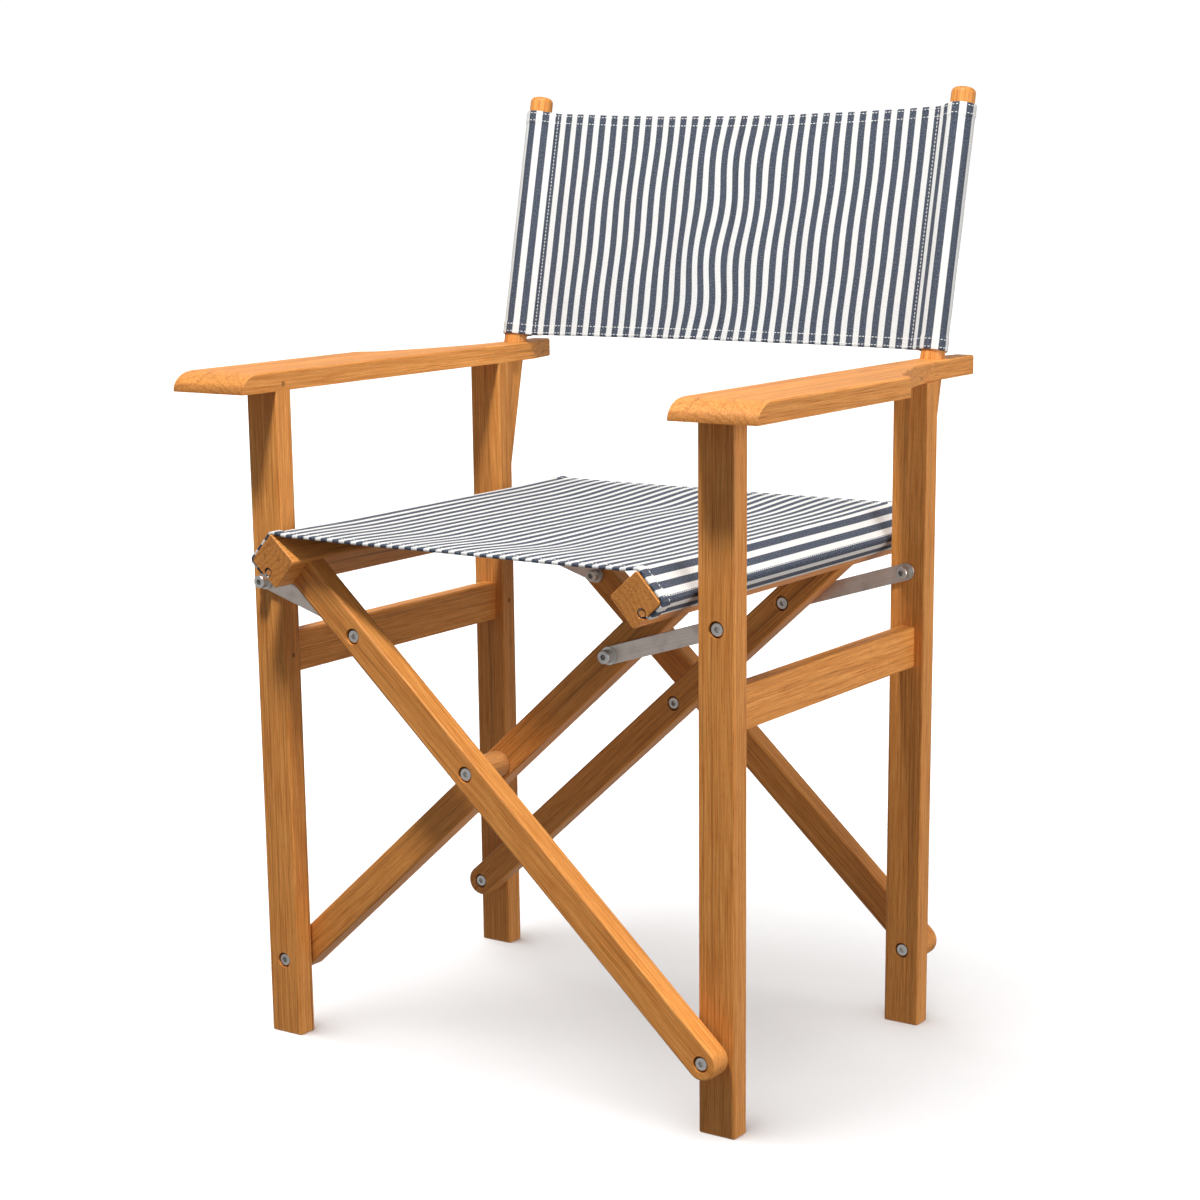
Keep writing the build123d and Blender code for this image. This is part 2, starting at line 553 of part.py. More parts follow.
def link(side, leg_front_y, place, word):
    """Flat steel link from a leg to the bar that crosses beside it, and the pin at its bar end.

    The bar end is where the closed linkage is opened: the pin stops at the link's face, just
    short of the bar.
    """
    in_front = link_first(side, leg_front_y)
    leg_x = side * LEG_CENTRE_X
    pin_x, pin_z = on_bar(-side, LINK_PIN_DISTANCE)
    front_y = leg_front_y - LINK_GAP - LINK_THICKNESS if in_front else leg_front_y + LEG_DEPTH + LINK_GAP
    back_y = front_y + LINK_THICKNESS
    length = hypot(pin_x - leg_x, pin_z - LINK_PIVOT_HEIGHT)
    along = Plane(origin=(leg_x, front_y, LINK_PIVOT_HEIGHT), z_dir=(0, 1, 0),
                  x_dir=(pin_x - leg_x, 0, pin_z - LINK_PIVOT_HEIGHT))
    with BuildPart() as plate:
        with BuildSketch(along):
            with Locations((length / 2, 0)):
                SlotOverall(length + LINK_WIDTH, LINK_WIDTH)
        extrude(amount=LINK_THICKNESS)
        chamfer(plate.faces().filter_by(Axis.Y).edges(), 0.4)
        add(disc(leg_x, LINK_PIVOT_HEIGHT, front_y - 1, back_y + 1, BOLT_DIAMETER / 2 + BOLT_RUNNING_GAP),
            mode=Mode.SUBTRACT)
        add(disc(pin_x, pin_z, front_y - 1, back_y + 1, BOLT_DIAMETER / 2), mode=Mode.SUBTRACT)
    save(plate.part, f"link_{place}_{word}")
    if in_front:
        pin = [disc(pin_x, pin_z, front_y, back_y + NUT_THICKNESS, BOLT_DIAMETER / 2),
               nut(pin_x, pin_z, back_y)]
    else:
        washer_y = front_y - WASHER_THICKNESS
        pin = [socket_bolt(pin_x, pin_z, washer_y - RAISED_HEAD_THICKNESS, RAISED_HEAD_THICKNESS, back_y),
               ring(pin_x, pin_z, washer_y, front_y, WASHER_DIAMETER / 2, BOLT_DIAMETER / 2)]
    save_group(pin, f"link_pin_{place}_{word}")


def crossing_hardware():
    """The two pivots where the X-frames cross: bolt, nut and wooden spacer, all on the outer frame."""
    bolts, nuts, spacers = [], [], []
    for front_bar_y, rear_bar_y in ((BAR_A_Y, BAR_B_Y), (BAR_C_Y, BAR_D_Y)):
        nut_y = rear_bar_y + BAR_THICKNESS - RECESS_DEPTH + SEAT_GAP
        head_y = front_bar_y + RECESS_DEPTH - SEAT_GAP - HEAD_THICKNESS
        bolts.append(socket_bolt(0, CROSSING_HEIGHT, head_y, HEAD_THICKNESS, nut_y + NUT_THICKNESS))
        nuts.append(nut(0, CROSSING_HEIGHT, nut_y))
        spacers.append(ring(0, CROSSING_HEIGHT, front_bar_y + BAR_THICKNESS + SEAT_GAP,
                            rear_bar_y - SEAT_GAP, SPACER_DIAMETER / 2, BOLT_DIAMETER / 2 + 0.2))
    save_group(bolts, "crossing_bolts")
    save_group(nuts, "crossing_nuts")
    save_group(spacers, "crossing_spacers")


def bar_link_hardware(side, head_bar_y, insert_bar_y, word):
    """What the bars hold at their link pivots: a socket bolt in one bar, a threaded insert in the other."""
    x, z = on_bar(side, LINK_PIN_DISTANCE)
    head_y = head_bar_y + RECESS_DEPTH - HEAD_THICKNESS
    save_group([socket_bolt(x, z, head_y, HEAD_THICKNESS, head_bar_y + BAR_THICKNESS)],
               f"link_bolt_{word}")
    save_group([ring(x, z, insert_bar_y, insert_bar_y + INSERT_LENGTH, INSERT_DIAMETER / 2,
                     BOLT_DIAMETER / 2)], f"link_insert_{word}")


for side, word in ((-1, "left"), (1, "right")):
    frame_hardware(side, word)
    link(side, FRONT_FACE_Y, "front", word)
    link(side, REAR_FACE_Y, "rear", word)
crossing_hardware()
bar_link_hardware(1, BAR_A_Y, BAR_D_Y, "outer")
bar_link_hardware(-1, BAR_C_Y, BAR_B_Y, "inner")


# ---------------------------------------------------------------- canvas
def rail_points(side, lift):
    """Points around the rail on one side, lift outside its faces: groove mouth, corner, face, crest.

    They are given as (x, z), from the lip of the groove up to where the cloth leaves for the
    other rail, each arc with a point halfway.
    """
    along = Vector(side * BAR_COS, BAR_SIN)
    across = Vector(side * BAR_SIN, -BAR_COS)
    up = Vector(0, 1)
    centre = Vector(side * (RAIL_DISTANCE * BAR_COS - LEG_CENTRE_X), PIVOT_HEIGHT + RAIL_DISTANCE * BAR_SIN)
    reach = RAIL_ALONG / 2 - RAIL_CORNER_RADIUS
    drop = RAIL_ACROSS / 2 - RAIL_CORNER_RADIUS
    radius = RAIL_CORNER_RADIUS + lift
    outer_corner = centre + along * reach + across * drop
    top_corner = centre + along * reach - across * drop
    lip = centre + along * (GROOVE_OFFSET + LIP_CLEARANCE) + across * (RAIL_ACROSS / 2 + lift)
    return [lip, outer_corner + across * radius, outer_corner + (along + across).normalized() * radius,
            outer_corner + along * radius, top_corner + along * radius,
            top_corner + (along + up).normalized() * radius, top_corner + up * radius]


def seat_edge(lift):
    """One face of the seat cloth as lines and arcs, from the left groove to the right one."""
    left, right = rail_points(-1, lift), rail_points(1, lift)
    for points in (left, right):
        Line(points[0], points[1])
        ThreePointArc(*points[1:4])
        Line(points[3], points[4])
        ThreePointArc(*points[4:7])
    ThreePointArc(left[6], (0, left[6].Y - SEAT_SAG), right[6])
    return left[0], right[0]


front_edge_y = FRONT_FACE_Y - RAIL_OVERHANG + CANVAS_INSET
with BuildPart() as seat_canvas:
    with BuildSketch(along_y(0, 0, front_edge_y)):
        with BuildLine():
            near_left, near_right = seat_edge(CANVAS_GAP)
            far_left, far_right = seat_edge(CANVAS_GAP + CANVAS)
            Line(near_left, far_left)
            Line(near_right, far_right)
        make_face()
    extrude(amount=2 * CANVAS_INSET - RAIL_LENGTH)
    for side in (-1, 1):
        along, across = groove_centre(side)
        lip_depth = RAIL_ACROSS / 2 + CANVAS_GAP + CANVAS - GROOVE_DEPTH - HEM_LOOP_INNER - HEM_LOOP_OVERLAP
        with BuildSketch(bar_plane(side, front_edge_y)):
            with Locations((along, across)):
                Circle(HEM_LOOP_OUTER)
                Circle(HEM_LOOP_INNER, mode=Mode.SUBTRACT)
            with Locations((along, across - side * (HEM_LOOP_INNER + HEM_LOOP_OVERLAP + lip_depth / 2))):
                Rectangle(GROOVE_MOUTH - 2 * HEM_SIDE_GAP, lip_depth)
        extrude(amount=RAIL_LENGTH - 2 * CANVAS_INSET)
save(seat_canvas.part, "seat_canvas")

rise = cos(radians(POST_LEAN))
back_length = (BACK_TOP_Z - BACK_BOTTOM_Z) / rise
sleeve_inner = POST_DIAMETER / 2 + SLEEVE_GAP
sleeve_outer = sleeve_inner + CANVAS
across_posts = Plane(origin=(0, POST_BASE_Y, ARM_UNDERSIDE + ARM_THICKNESS), x_dir=(1, 0, 0),
                     z_dir=post_plane(1).z_dir)
with BuildPart() as back_canvas:
    with BuildSketch(across_posts.offset((BACK_BOTTOM_Z - ARM_UNDERSIDE - ARM_THICKNESS) / rise)):
        reach = POST_CENTRE_X - sleeve_inner - PANEL_SETBACK
        with BuildLine():
            ThreePointArc((-reach, BACK_THICKNESS / 2), (0, BACK_SAG + BACK_THICKNESS / 2),
                          (reach, BACK_THICKNESS / 2))
            ThreePointArc((-reach, -BACK_THICKNESS / 2), (0, BACK_SAG - BACK_THICKNESS / 2),
                          (reach, -BACK_THICKNESS / 2))
            Line((-reach, BACK_THICKNESS / 2), (-reach, -BACK_THICKNESS / 2))
            Line((reach, BACK_THICKNESS / 2), (reach, -BACK_THICKNESS / 2))
        make_face()
        with Locations((-POST_CENTRE_X, 0), (POST_CENTRE_X, 0)):
            Circle(sleeve_outer)
        with Locations((-POST_CENTRE_X, 0), (POST_CENTRE_X, 0)):
            Circle(sleeve_inner, mode=Mode.SUBTRACT)
    extrude(amount=back_length)
save(back_canvas.part, "back_canvas")
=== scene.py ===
"""Looks of the folding director's chair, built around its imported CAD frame. Metres, in the row frame."""

import math

import bpy
import numpy as np
from mathutils import Matrix, Vector


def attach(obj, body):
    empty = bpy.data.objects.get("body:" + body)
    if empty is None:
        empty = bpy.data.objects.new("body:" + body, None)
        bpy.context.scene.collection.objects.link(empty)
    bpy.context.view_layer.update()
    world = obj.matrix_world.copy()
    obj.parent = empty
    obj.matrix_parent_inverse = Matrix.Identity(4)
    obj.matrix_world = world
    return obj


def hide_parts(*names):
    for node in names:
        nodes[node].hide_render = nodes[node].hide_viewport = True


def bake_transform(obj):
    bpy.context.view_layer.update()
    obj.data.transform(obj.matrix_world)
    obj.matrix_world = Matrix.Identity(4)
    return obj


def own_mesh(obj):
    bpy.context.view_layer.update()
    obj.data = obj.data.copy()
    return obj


MM = 0.001

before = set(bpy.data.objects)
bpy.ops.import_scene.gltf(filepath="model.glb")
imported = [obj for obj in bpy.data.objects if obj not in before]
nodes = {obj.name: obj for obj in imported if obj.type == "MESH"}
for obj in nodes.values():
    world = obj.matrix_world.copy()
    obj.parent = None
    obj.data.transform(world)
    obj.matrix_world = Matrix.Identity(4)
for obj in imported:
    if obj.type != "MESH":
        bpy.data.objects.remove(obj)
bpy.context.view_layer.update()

# ------------------------------------------------------------------ sizes, in millimetres
PIVOT_X = 244.0                # a bar's bottom pivot, from the middle
PIVOT_Z = 73.5
CROSSING_RISE = 221.5          # from the bottom pivots up to where the bars cross
RAIL_REACH = 593.5             # along a bar, from its pivot to its rail's centre
BAR_ANGLE = math.atan2(CROSSING_RISE, PIVOT_X)
RAIL_CENTRE = (RAIL_REACH * math.cos(BAR_ANGLE) - PIVOT_X, PIVOT_Z + RAIL_REACH * math.sin(BAR_ANGLE))
RAIL_ALONG = 36.0
RAIL_ACROSS = 34.5
RAIL_CORNER = 2.6
GROOVE = (-2.4, 12.0)          # axis of the cloth groove from the rail's centre: along, across
GROOVE_LIP = 0.1
POCKET_RADIUS = 3.95           # middle of the cloth wrapped round the locking rod
CLOTH = 1.3
POCKET_CLOTH = 0.9
CLOTH_GAP = 0.35               # air between the cloth and the wood it lies on
SEAT_FRONT = -251.48
SEAT_REAR = 204.48
SEAT_SAG = 5.5
SEAT_EDGE_SAG = 0.2            # the folded edges are pulled straighter than the middle
HEM_DEPTH = 12.0
HEM_EXTRA = 1.6                # extra thickness where the hem is folded over

POST_X = 240.5
POST_Y = 187.0
POST_FOOT_Z = 638.0
POST_LEAN = math.radians(12.7)
POST_RADIUS = 11.5
BACK_BOTTOM = 645.0
BACK_TOP = 869.0
BACK_SAG = 8.0
SEAM_X = 217.0
STRIPE_PITCH = 13.56
DARK_SHARE = 0.535             # of the stripe pitch
STITCH_PITCH = 3.5
RING_WIDTH = 5.2               # of one year's growth in the timber
RING_WANDER = 15.0
WARP_PITCH = 0.85
WEFT_PITCH = 1.0
STITCH_INSET = 9.6             # the seat's row of stitches, from its folded edge
HEM_ROWS = (2.4, 9.6)          # the back's two rows of stitches, from its folded edge
SLEEVE_HEM = 0.5               # extra thickness of the hem where it is pulled tight round a post
POCKET_ROW = 46.0              # stitched row that closes the rod's pocket, from the cloth's inner end
STITCH_DIMPLE = 0.22           # how far a row of stitches draws the cloth in
SEAM_DIMPLE = 0.16
HEM_STITCH_START = 34.0        # along the seat cloth, from its end in the groove to the hem's first stitch
ROW_MARGIN = 3.0               # from the cloth's edge to the first stitch of a row


# ------------------------------------------------------------------ node helpers
def srgb(r, g, b):
    """A colour given as it looks on screen, 0-255, as Blender's linear colour."""
    out = []
    for value in (r, g, b):
        c = value / 255.0
        out.append(c / 12.92 if c <= 0.04045 else ((c + 0.055) / 1.055) ** 2.4)
    return (*out, 1.0)


class Graph:
    """Short ways to add and join shader nodes in one node tree."""

    def __init__(self, tree):
        self.tree = tree

    def node(self, kind, **settings):
        made = self.tree.nodes.new(kind)
        for name, value in settings.items():
            setattr(made, name, value)
        return made

    def feed(self, socket, value):
        if isinstance(value, bpy.types.NodeSocket):
            self.tree.links.new(value, socket)
        elif value is not None:
            socket.default_value = value

    def math(self, operation, a, b=None, c=None, clamp=False):
        made = self.node("ShaderNodeMath", operation=operation, use_clamp=clamp)
        for socket, value in zip(made.inputs, (a, b, c)):
            self.feed(socket, value)
        return made.outputs[0]

    def vector(self, operation, a, b=None):
        made = self.node("ShaderNodeVectorMath", operation=operation)
        self.feed(made.inputs[0], a)
        if b is not None:
            self.feed(made.inputs[1], b)
        return made.outputs["Value"] if operation in ("LENGTH", "DOT_PRODUCT") else made.outputs[0]

    def noise(self, place, scale, detail=3.0, roughness=0.55):
        """Noise between 0 and 1, stretched by a scale for each axis."""
        made = self.node("ShaderNodeTexNoise")
        self.feed(made.inputs["Vector"], self.vector("MULTIPLY", place, scale))
        made.inputs["Scale"].default_value = 1.0
        made.inputs["Detail"].default_value = detail
        made.inputs["Roughness"].default_value = roughness
        return made.outputs["Fac"]

    def ramp(self, value, *stops):
        """A colour ramp; each stop is a place and a colour or grey level."""
        made = self.node("ShaderNodeValToRGB")
        elements = made.color_ramp.elements
        while len(elements) < len(stops):
            elements.new(0.5)
        for element, (place, colour) in zip(elements, stops):
            element.position = place
            element.color = colour if hasattr(colour, "__len__") else (colour, colour, colour, 1.0)
        self.feed(made.inputs[0], value)
        return made.outputs["Color"]

    def mix(self, share, a, b, blend="MIX"):
        made = self.node("ShaderNodeMix", data_type="RGBA", blend_type=blend)
        self.feed(made.inputs[0], share)
        self.feed(made.inputs[6], a)
        self.feed(made.inputs[7], b)
        return made.outputs[2]

    def level(self, value, low, high, out_low=0.0, out_high=1.0):
        """Moves a value from one range to another, smoothly, and holds it inside."""
        made = self.node("ShaderNodeMapRange", interpolation_type="SMOOTHSTEP")
        for socket, number in zip(made.inputs[:5], (value, low, high, out_low, out_high)):
            self.feed(socket, number)
        return made.outputs[0]

    def bump(self, height, strength, distance):
        made = self.node("ShaderNodeBump")
        made.inputs["Strength"].default_value = strength
        made.inputs["Distance"].default_value = distance
        self.feed(made.inputs["Height"], height)
        return made.outputs[0]


def new_material(name):
    """An empty node material, its graph and its Principled shader."""
    made = bpy.data.materials.new(name)
    made.use_nodes = True
    shader = made.node_tree.nodes["Principled BSDF"]
    return made, Graph(made.node_tree), shader


def dress(obj, material):
    """One material over a whole object."""
    obj.data.materials.clear()
    obj.data.materials.append(material)


# ------------------------------------------------------------------ teak
def wood_group(name, light, middle, dark, vein):
    """Timber sawn from a log: rings round the grain axis, fibres and pores along it."""
    group = bpy.data.node_groups.new(name, "ShaderNodeTree")
    face = group.interface
    face.new_socket("Place", in_out="INPUT", socket_type="NodeSocketVector")
    face.new_socket("EndGrain", in_out="INPUT", socket_type="NodeSocketFloat")
    face.new_socket("Tone", in_out="INPUT", socket_type="NodeSocketFloat")
    face.new_socket("Color", in_out="OUTPUT", socket_type="NodeSocketColor")
    face.new_socket("Roughness", in_out="OUTPUT", socket_type="NodeSocketFloat")
    face.new_socket("Height", in_out="OUTPUT", socket_type="NodeSocketFloat")
    g = Graph(group)
    given = g.node("NodeGroupInput")
    result = g.node("NodeGroupOutput")
    place = g.vector("MULTIPLY", given.outputs["Place"], (1000.0, 1000.0, 1000.0))
    end = given.outputs["EndGrain"]

    wander = g.node("ShaderNodeTexNoise")
    g.feed(wander.inputs["Vector"], g.vector("MULTIPLY", place, (0.013, 0.013, 0.0024)))
    wander.inputs["Scale"].default_value = 1.0
    wander.inputs["Detail"].default_value = 2.5
    moved = g.vector("SUBTRACT", wander.outputs["Color"], (0.5, 0.5, 0.5))
    moved = g.vector("ADD", place, g.vector("MULTIPLY", moved, (RING_WANDER, RING_WANDER, 0.0)))
    across = g.vector("LENGTH", g.vector("MULTIPLY", moved, (1.0, 1.0, 0.0)))
    uneven = g.noise(moved, (0.045, 0.045, 0.003), 1.0)
    ring = g.math("ADD", g.math("DIVIDE", across, RING_WIDTH), g.math("MULTIPLY", uneven, 1.8))
    part = g.math("FRACT", ring)
    late = g.ramp(part, (0.0, 0.55), (0.10, 0.05), (0.55, 0.12), (0.86, 0.55), (0.96, 1.0), (1.0, 0.55))
    which = g.node("ShaderNodeTexWhiteNoise", noise_dimensions="1D")
    g.feed(which.inputs["W"], g.math("FLOOR", ring))
    late = g.math("MULTIPLY", late, g.math("MULTIPLY_ADD", which.outputs["Value"], 0.75, 0.25))

    fibres = g.noise(place, (1.15, 1.15, 0.022), 6.0, 0.62)
    fine = g.noise(place, (4.2, 4.2, 0.06), 3.0, 0.6)
    pores = g.level(g.noise(place, (5.0, 5.0, 0.11), 2.0, 0.5), 0.60, 0.70)
    streak = g.level(g.noise(place, (0.16, 0.16, 0.0016), 3.0, 0.6), 0.56, 0.74)
    lines = g.level(g.noise(place, (0.75, 0.75, 0.0022), 3.0, 0.55), 0.57, 0.66)
    broad = g.noise(place, (0.011, 0.011, 0.0022), 2.0)

    colour = g.ramp(fibres, (0.26, dark), (0.43, middle), (0.64, light))
    ringed = g.math("MULTIPLY", late, g.math("MULTIPLY_ADD", end, 0.26, 0.36))
    colour = g.mix(ringed, colour, dark)
    colour = g.mix(g.math("MULTIPLY", streak, 0.40), colour, vein)
    colour = g.mix(g.math("MULTIPLY", lines, 0.30), colour, vein)
    colour = g.mix(g.math("MULTIPLY", pores, 0.50), colour, vein)
    shade = g.math("MULTIPLY_ADD", fine, 0.50, 0.74)
    shade = g.math("MULTIPLY", shade, g.math("MULTIPLY_ADD", broad, 0.5, 0.75))
    shade = g.math("MULTIPLY", shade, given.outputs["Tone"])
    shade = g.math("MULTIPLY", shade, g.math("MULTIPLY_ADD", end, -0.20, 1.0))
    colour = g.mix(1.0, colour, shade, "MULTIPLY")

    rough = g.math("MULTIPLY_ADD", fibres, 0.22, 0.36)
    rough = g.math("ADD", rough, g.math("MULTIPLY", end, 0.16))
    height = g.math("MULTIPLY_ADD", fine, 0.5, g.math("MULTIPLY", late, -0.25))
    height = g.math("SUBTRACT", height, g.math("MULTIPLY", pores, 0.7))
    g.feed(result.inputs["Color"], colour)
    g.feed(result.inputs["Roughness"], rough)
    g.feed(result.inputs["Height"], height)
    return group


TEAK = wood_group("teak_wood", light=srgb(237, 166, 90), middle=srgb(214, 136, 62), dark=srgb(150, 80, 26),
                  vein=srgb(84, 40, 12))
DOWEL = wood_group("dowel_wood", light=srgb(222, 160, 98), middle=srgb(196, 128, 68), dark=srgb(150, 92, 44),
                   vein=srgb(110, 62, 28))


def timber(name, group, grain, heart, tone=1.0):
    """A timber material whose grain runs along the given direction, with the log's heart at a point."""
    made, g, shader = new_material(name)
    grain = Vector(grain).normalized()
    turn = grain.rotation_difference(Vector((0, 0, 1))).to_euler()
    where = g.node("ShaderNodeTexCoord")
    rotate = g.node("ShaderNodeMapping")
    rotate.inputs["Rotation"].default_value = turn
    g.feed(rotate.inputs["Vector"], g.vector("SUBTRACT", where.outputs["Object"], heart))
    facing = g.math("ABSOLUTE", g.vector("DOT_PRODUCT", where.outputs["Normal"], tuple(grain)))
    wood = g.node("ShaderNodeGroup", node_tree=group)
    g.feed(wood.inputs["Place"], rotate.outputs[0])
    g.feed(wood.inputs["EndGrain"], g.level(facing, 0.72, 0.93))
    wood.inputs["Tone"].default_value = tone
    g.feed(shader.inputs["Base Color"], wood.outputs["Color"])
    g.feed(shader.inputs["Roughness"], wood.outputs["Roughness"])
    g.feed(shader.inputs["Normal"], g.bump(wood.outputs["Height"], 0.35, 0.0004))
    shader.inputs["Specular IOR Level"].default_value = 0.26
    return made


def at(x, y, z):
    return (x * MM, y * MM, z * MM)


UP = (0, 0, 1)
DEEP = (0, 1, 0)
LEAN = (0, math.sin(POST_LEAN), math.cos(POST_LEAN))
RISING = (math.cos(BAR_ANGLE), 0, math.sin(BAR_ANGLE))    # from a left pivot up to the right
FALLING = (-math.cos(BAR_ANGLE), 0, math.sin(BAR_ANGLE))  # from a right pivot up to the left

TIMBERS = {
    "front_leg_left": (TEAK, UP, at(-300, -160, 0), 1.00),
    "front_leg_right": (TEAK, UP, at(270, -130, 0), 0.93),
    "rear_leg_left": (TEAK, UP, at(-200, 190, 0), 0.96),
    "rear_leg_right": (TEAK, UP, at(325, 150, 0), 0.98),
    "stretcher_left": (TEAK, DEEP, at(-265, 0, 420), 1.0),
    "stretcher_right": (TEAK, DEEP, at(215, 0, 340), 1.04),
    "armrest_left": (TEAK, DEEP, at(-290, 0, 560), 0.98),
    "armrest_right": (TEAK, DEEP, at(235, 0, 560), 0.98),
    "back_post_left": (TEAK, LEAN, at(-262, 160, 600), 0.97),
    "back_post_right": (TEAK, LEAN, at(268, 150, 600), 0.97),
    "outer_front_bar": (TEAK, FALLING, at(0, -255, 330), 1.0),
    "inner_front_bar": (TEAK, RISING, at(0, -140, 275), 0.97),
    "inner_rear_bar": (TEAK, RISING, at(0, 150, 320), 0.92),
    "outer_rear_bar": (TEAK, FALLING, at(0, 130, 270), 1.02),
    "seat_rail_left": (TEAK, DEEP, at(-225, 0, 505), 0.95),
    "seat_rail_right": (TEAK, DEEP, at(160, 0, 440), 0.98),
    "tenon_pins_left": (TEAK, (1, 0, 0), at(0, 0, 300), 0.62),
    "tenon_pins_right": (TEAK, (1, 0, 0), at(0, 10, 310), 0.62),
    "locking_rod_left": (DOWEL, DEEP, at(-210, 0, 462), 1.5),
    "locking_rod_right": (DOWEL, DEEP, at(190, 0, 470), 1.5),
    "crossing_spacers": (DOWEL, DEEP, at(14, 0, 300), 0.86),
}


# ------------------------------------------------------------------ metals
def metal(name, colour, roughness, brush, grain, dirt=0.35):
    """Turned or brushed metal: fine marks across the brushing direction, and faint smudges."""
    made, g, shader = new_material(name)
    where = g.node("ShaderNodeTexCoord")
    rotate = g.node("ShaderNodeMapping")
    rotate.inputs["Rotation"].default_value = (0, brush, 0)
    g.feed(rotate.inputs["Vector"], where.outputs["Object"])
    marks = g.noise(rotate.outputs[0], grain, 4.0, 0.6)
    smudge = g.noise(where.outputs["Object"], (55.0, 55.0, 55.0), 3.0)
    worn = g.level(smudge, 0.45, 0.7)
    dull = g.mix(g.math("MULTIPLY", worn, dirt), colour, tuple(c * 0.55 for c in colour[:3]) + (1.0,))
    tint = g.math("MULTIPLY_ADD", marks, 0.5, 0.75)
    g.feed(shader.inputs["Base Color"], g.mix(1.0, dull, tint, "MULTIPLY"))
    rough = g.math("MULTIPLY_ADD", worn, 0.12, roughness)
    g.feed(shader.inputs["Roughness"], g.math("MULTIPLY_ADD", marks, 0.2, rough))
    g.feed(shader.inputs["Normal"], g.bump(marks, 0.12, 0.0002))
    shader.inputs["Metallic"].default_value = 1.0
    return made


LINK_RISE = 444.5 - 406.88      # from a link's bolt in the bar to its bolt in the leg
LINK_RUN = PIVOT_X - 123.25
LINK_SLOPE = math.atan2(LINK_RISE, LINK_RUN)
LINK_GREY = srgb(206, 194, 186)
BOLT_GREY = srgb(205, 203, 200)
BRASS = srgb(196, 160, 92)
ALONG_LINK = (12.0, 900.0, 900.0)
TURNED = (700.0, 700.0, 700.0)


def dress_frame():
    """Every carried-over CAD node but the two canvases gets a material: each timber its own, the metal parts
    shared ones.
    """
    for name, (group, grain, heart, tone) in TIMBERS.items():
        dress(nodes[name], timber(f"{name}_wood", group, grain, heart, tone))
    left_link = metal("link_brushed_left", LINK_GREY, 0.3, -LINK_SLOPE, ALONG_LINK)
    right_link = metal("link_brushed_right", LINK_GREY, 0.3, LINK_SLOPE, ALONG_LINK)
    bolts = metal("bolt_stainless", BOLT_GREY, 0.24, 0.0, TURNED, 0.5)
    brass = metal("insert_brass", BRASS, 0.3, 0.0, TURNED, 0.4)
    for name, node in nodes.items():
        if name in TIMBERS or name in ("seat_canvas", "back_canvas"):
            continue
        if name.startswith("link_insert"):
            dress(node, brass)
        elif name.startswith("link_front") or name.startswith("link_rear"):
            dress(node, left_link if name.endswith("left") else right_link)
        else:
            dress(node, bolts)


dress_frame()


# ------------------------------------------------------------------ canvas
def canvas(name):
    """Striped canvas. The mesh's "cloth" coordinates are metres across the stripes and along them."""
    made, g, shader = new_material(name)
    where = g.node("ShaderNodeUVMap", uv_map="cloth")
    flat = g.vector("MULTIPLY", where.outputs[0], (1000.0, 1000.0, 0.0))
    split = g.node("ShaderNodeSeparateXYZ")
    g.feed(split.inputs[0], flat)
    u, v = split.outputs[0], split.outputs[1]

    fray = g.noise(flat, (1.6, 1.6, 1.0), 2.0)
    edge = g.math("MULTIPLY_ADD", fray, 0.5, -0.25)
    turn = g.math("DIVIDE", g.math("ADD", u, edge), STRIPE_PITCH)
    phase = g.math("ABSOLUTE", g.math("SUBTRACT", g.math("FRACT", g.math("ADD", turn, 0.5)), 0.5))
    half = DARK_SHARE / 2
    dark = g.level(phase, half - 0.012, half + 0.012, 1.0, 0.0)

    warp = g.math("SINE", g.math("MULTIPLY", u, 2 * math.pi / WARP_PITCH))
    weft = g.math("SINE", g.math("MULTIPLY", v, 2 * math.pi / WEFT_PITCH))
    weave = g.math("MULTIPLY", warp, weft)
    slub = g.noise(flat, (1.1, 0.08, 1.0), 3.0, 0.6)
    pick = g.noise(flat, (0.10, 1.2, 1.0), 3.0, 0.6)
    speck = g.noise(flat, (1.25, 0.8, 1.0), 2.0, 0.7)
    crossing = g.math("MULTIPLY_ADD", weave, 0.18, g.math("MULTIPLY", speck, 1.0))

    navy = g.ramp(crossing, (0.30, srgb(34, 40, 52)), (0.52, srgb(60, 68, 83)), (0.68, srgb(103, 109, 122)),
                  (0.82, srgb(176, 178, 183)))
    white = g.ramp(crossing, (0.25, srgb(192, 191, 188)), (0.55, srgb(226, 225, 222)),
                   (0.85, srgb(240, 240, 238)))
    colour = g.mix(dark, white, navy)
    shade = g.math("MULTIPLY_ADD", slub, 0.14, 0.93)
    shade = g.math("MULTIPLY", shade, g.math("MULTIPLY_ADD", pick, 0.12, 0.94))
    g.feed(shader.inputs["Base Color"], g.mix(1.0, colour, shade, "MULTIPLY"))
    g.feed(shader.inputs["Roughness"], g.math("MULTIPLY_ADD", speck, 0.12, 0.8))
    relief = g.math("MULTIPLY_ADD", weave, 0.35, g.math("ADD", slub, pick))
    g.feed(shader.inputs["Normal"], g.bump(relief, 0.35, 0.0004))
    shader.inputs["Sheen Weight"].default_value = 0.04
    shader.inputs["Sheen Roughness"].default_value = 0.5
    shader.inputs["Specular IOR Level"].default_value = 0.25
    return made


def thread(name):
    """White sewing thread with its twist."""
    made, g, shader = new_material(name)
    where = g.node("ShaderNodeTexCoord")
    twist = g.noise(where.outputs["Object"], (1800.0, 1800.0, 1800.0), 2.0)
    colour = g.ramp(twist, (0.3, srgb(214, 212, 206)), (0.7, srgb(250, 249, 246)))
    g.feed(shader.inputs["Base Color"], colour)
    g.feed(shader.inputs["Roughness"], g.math("MULTIPLY_ADD", twist, 0.2, 0.6))
    g.feed(shader.inputs["Normal"], g.bump(twist, 0.3, 0.0002))
    return made


THREAD = thread("stitch_thread")


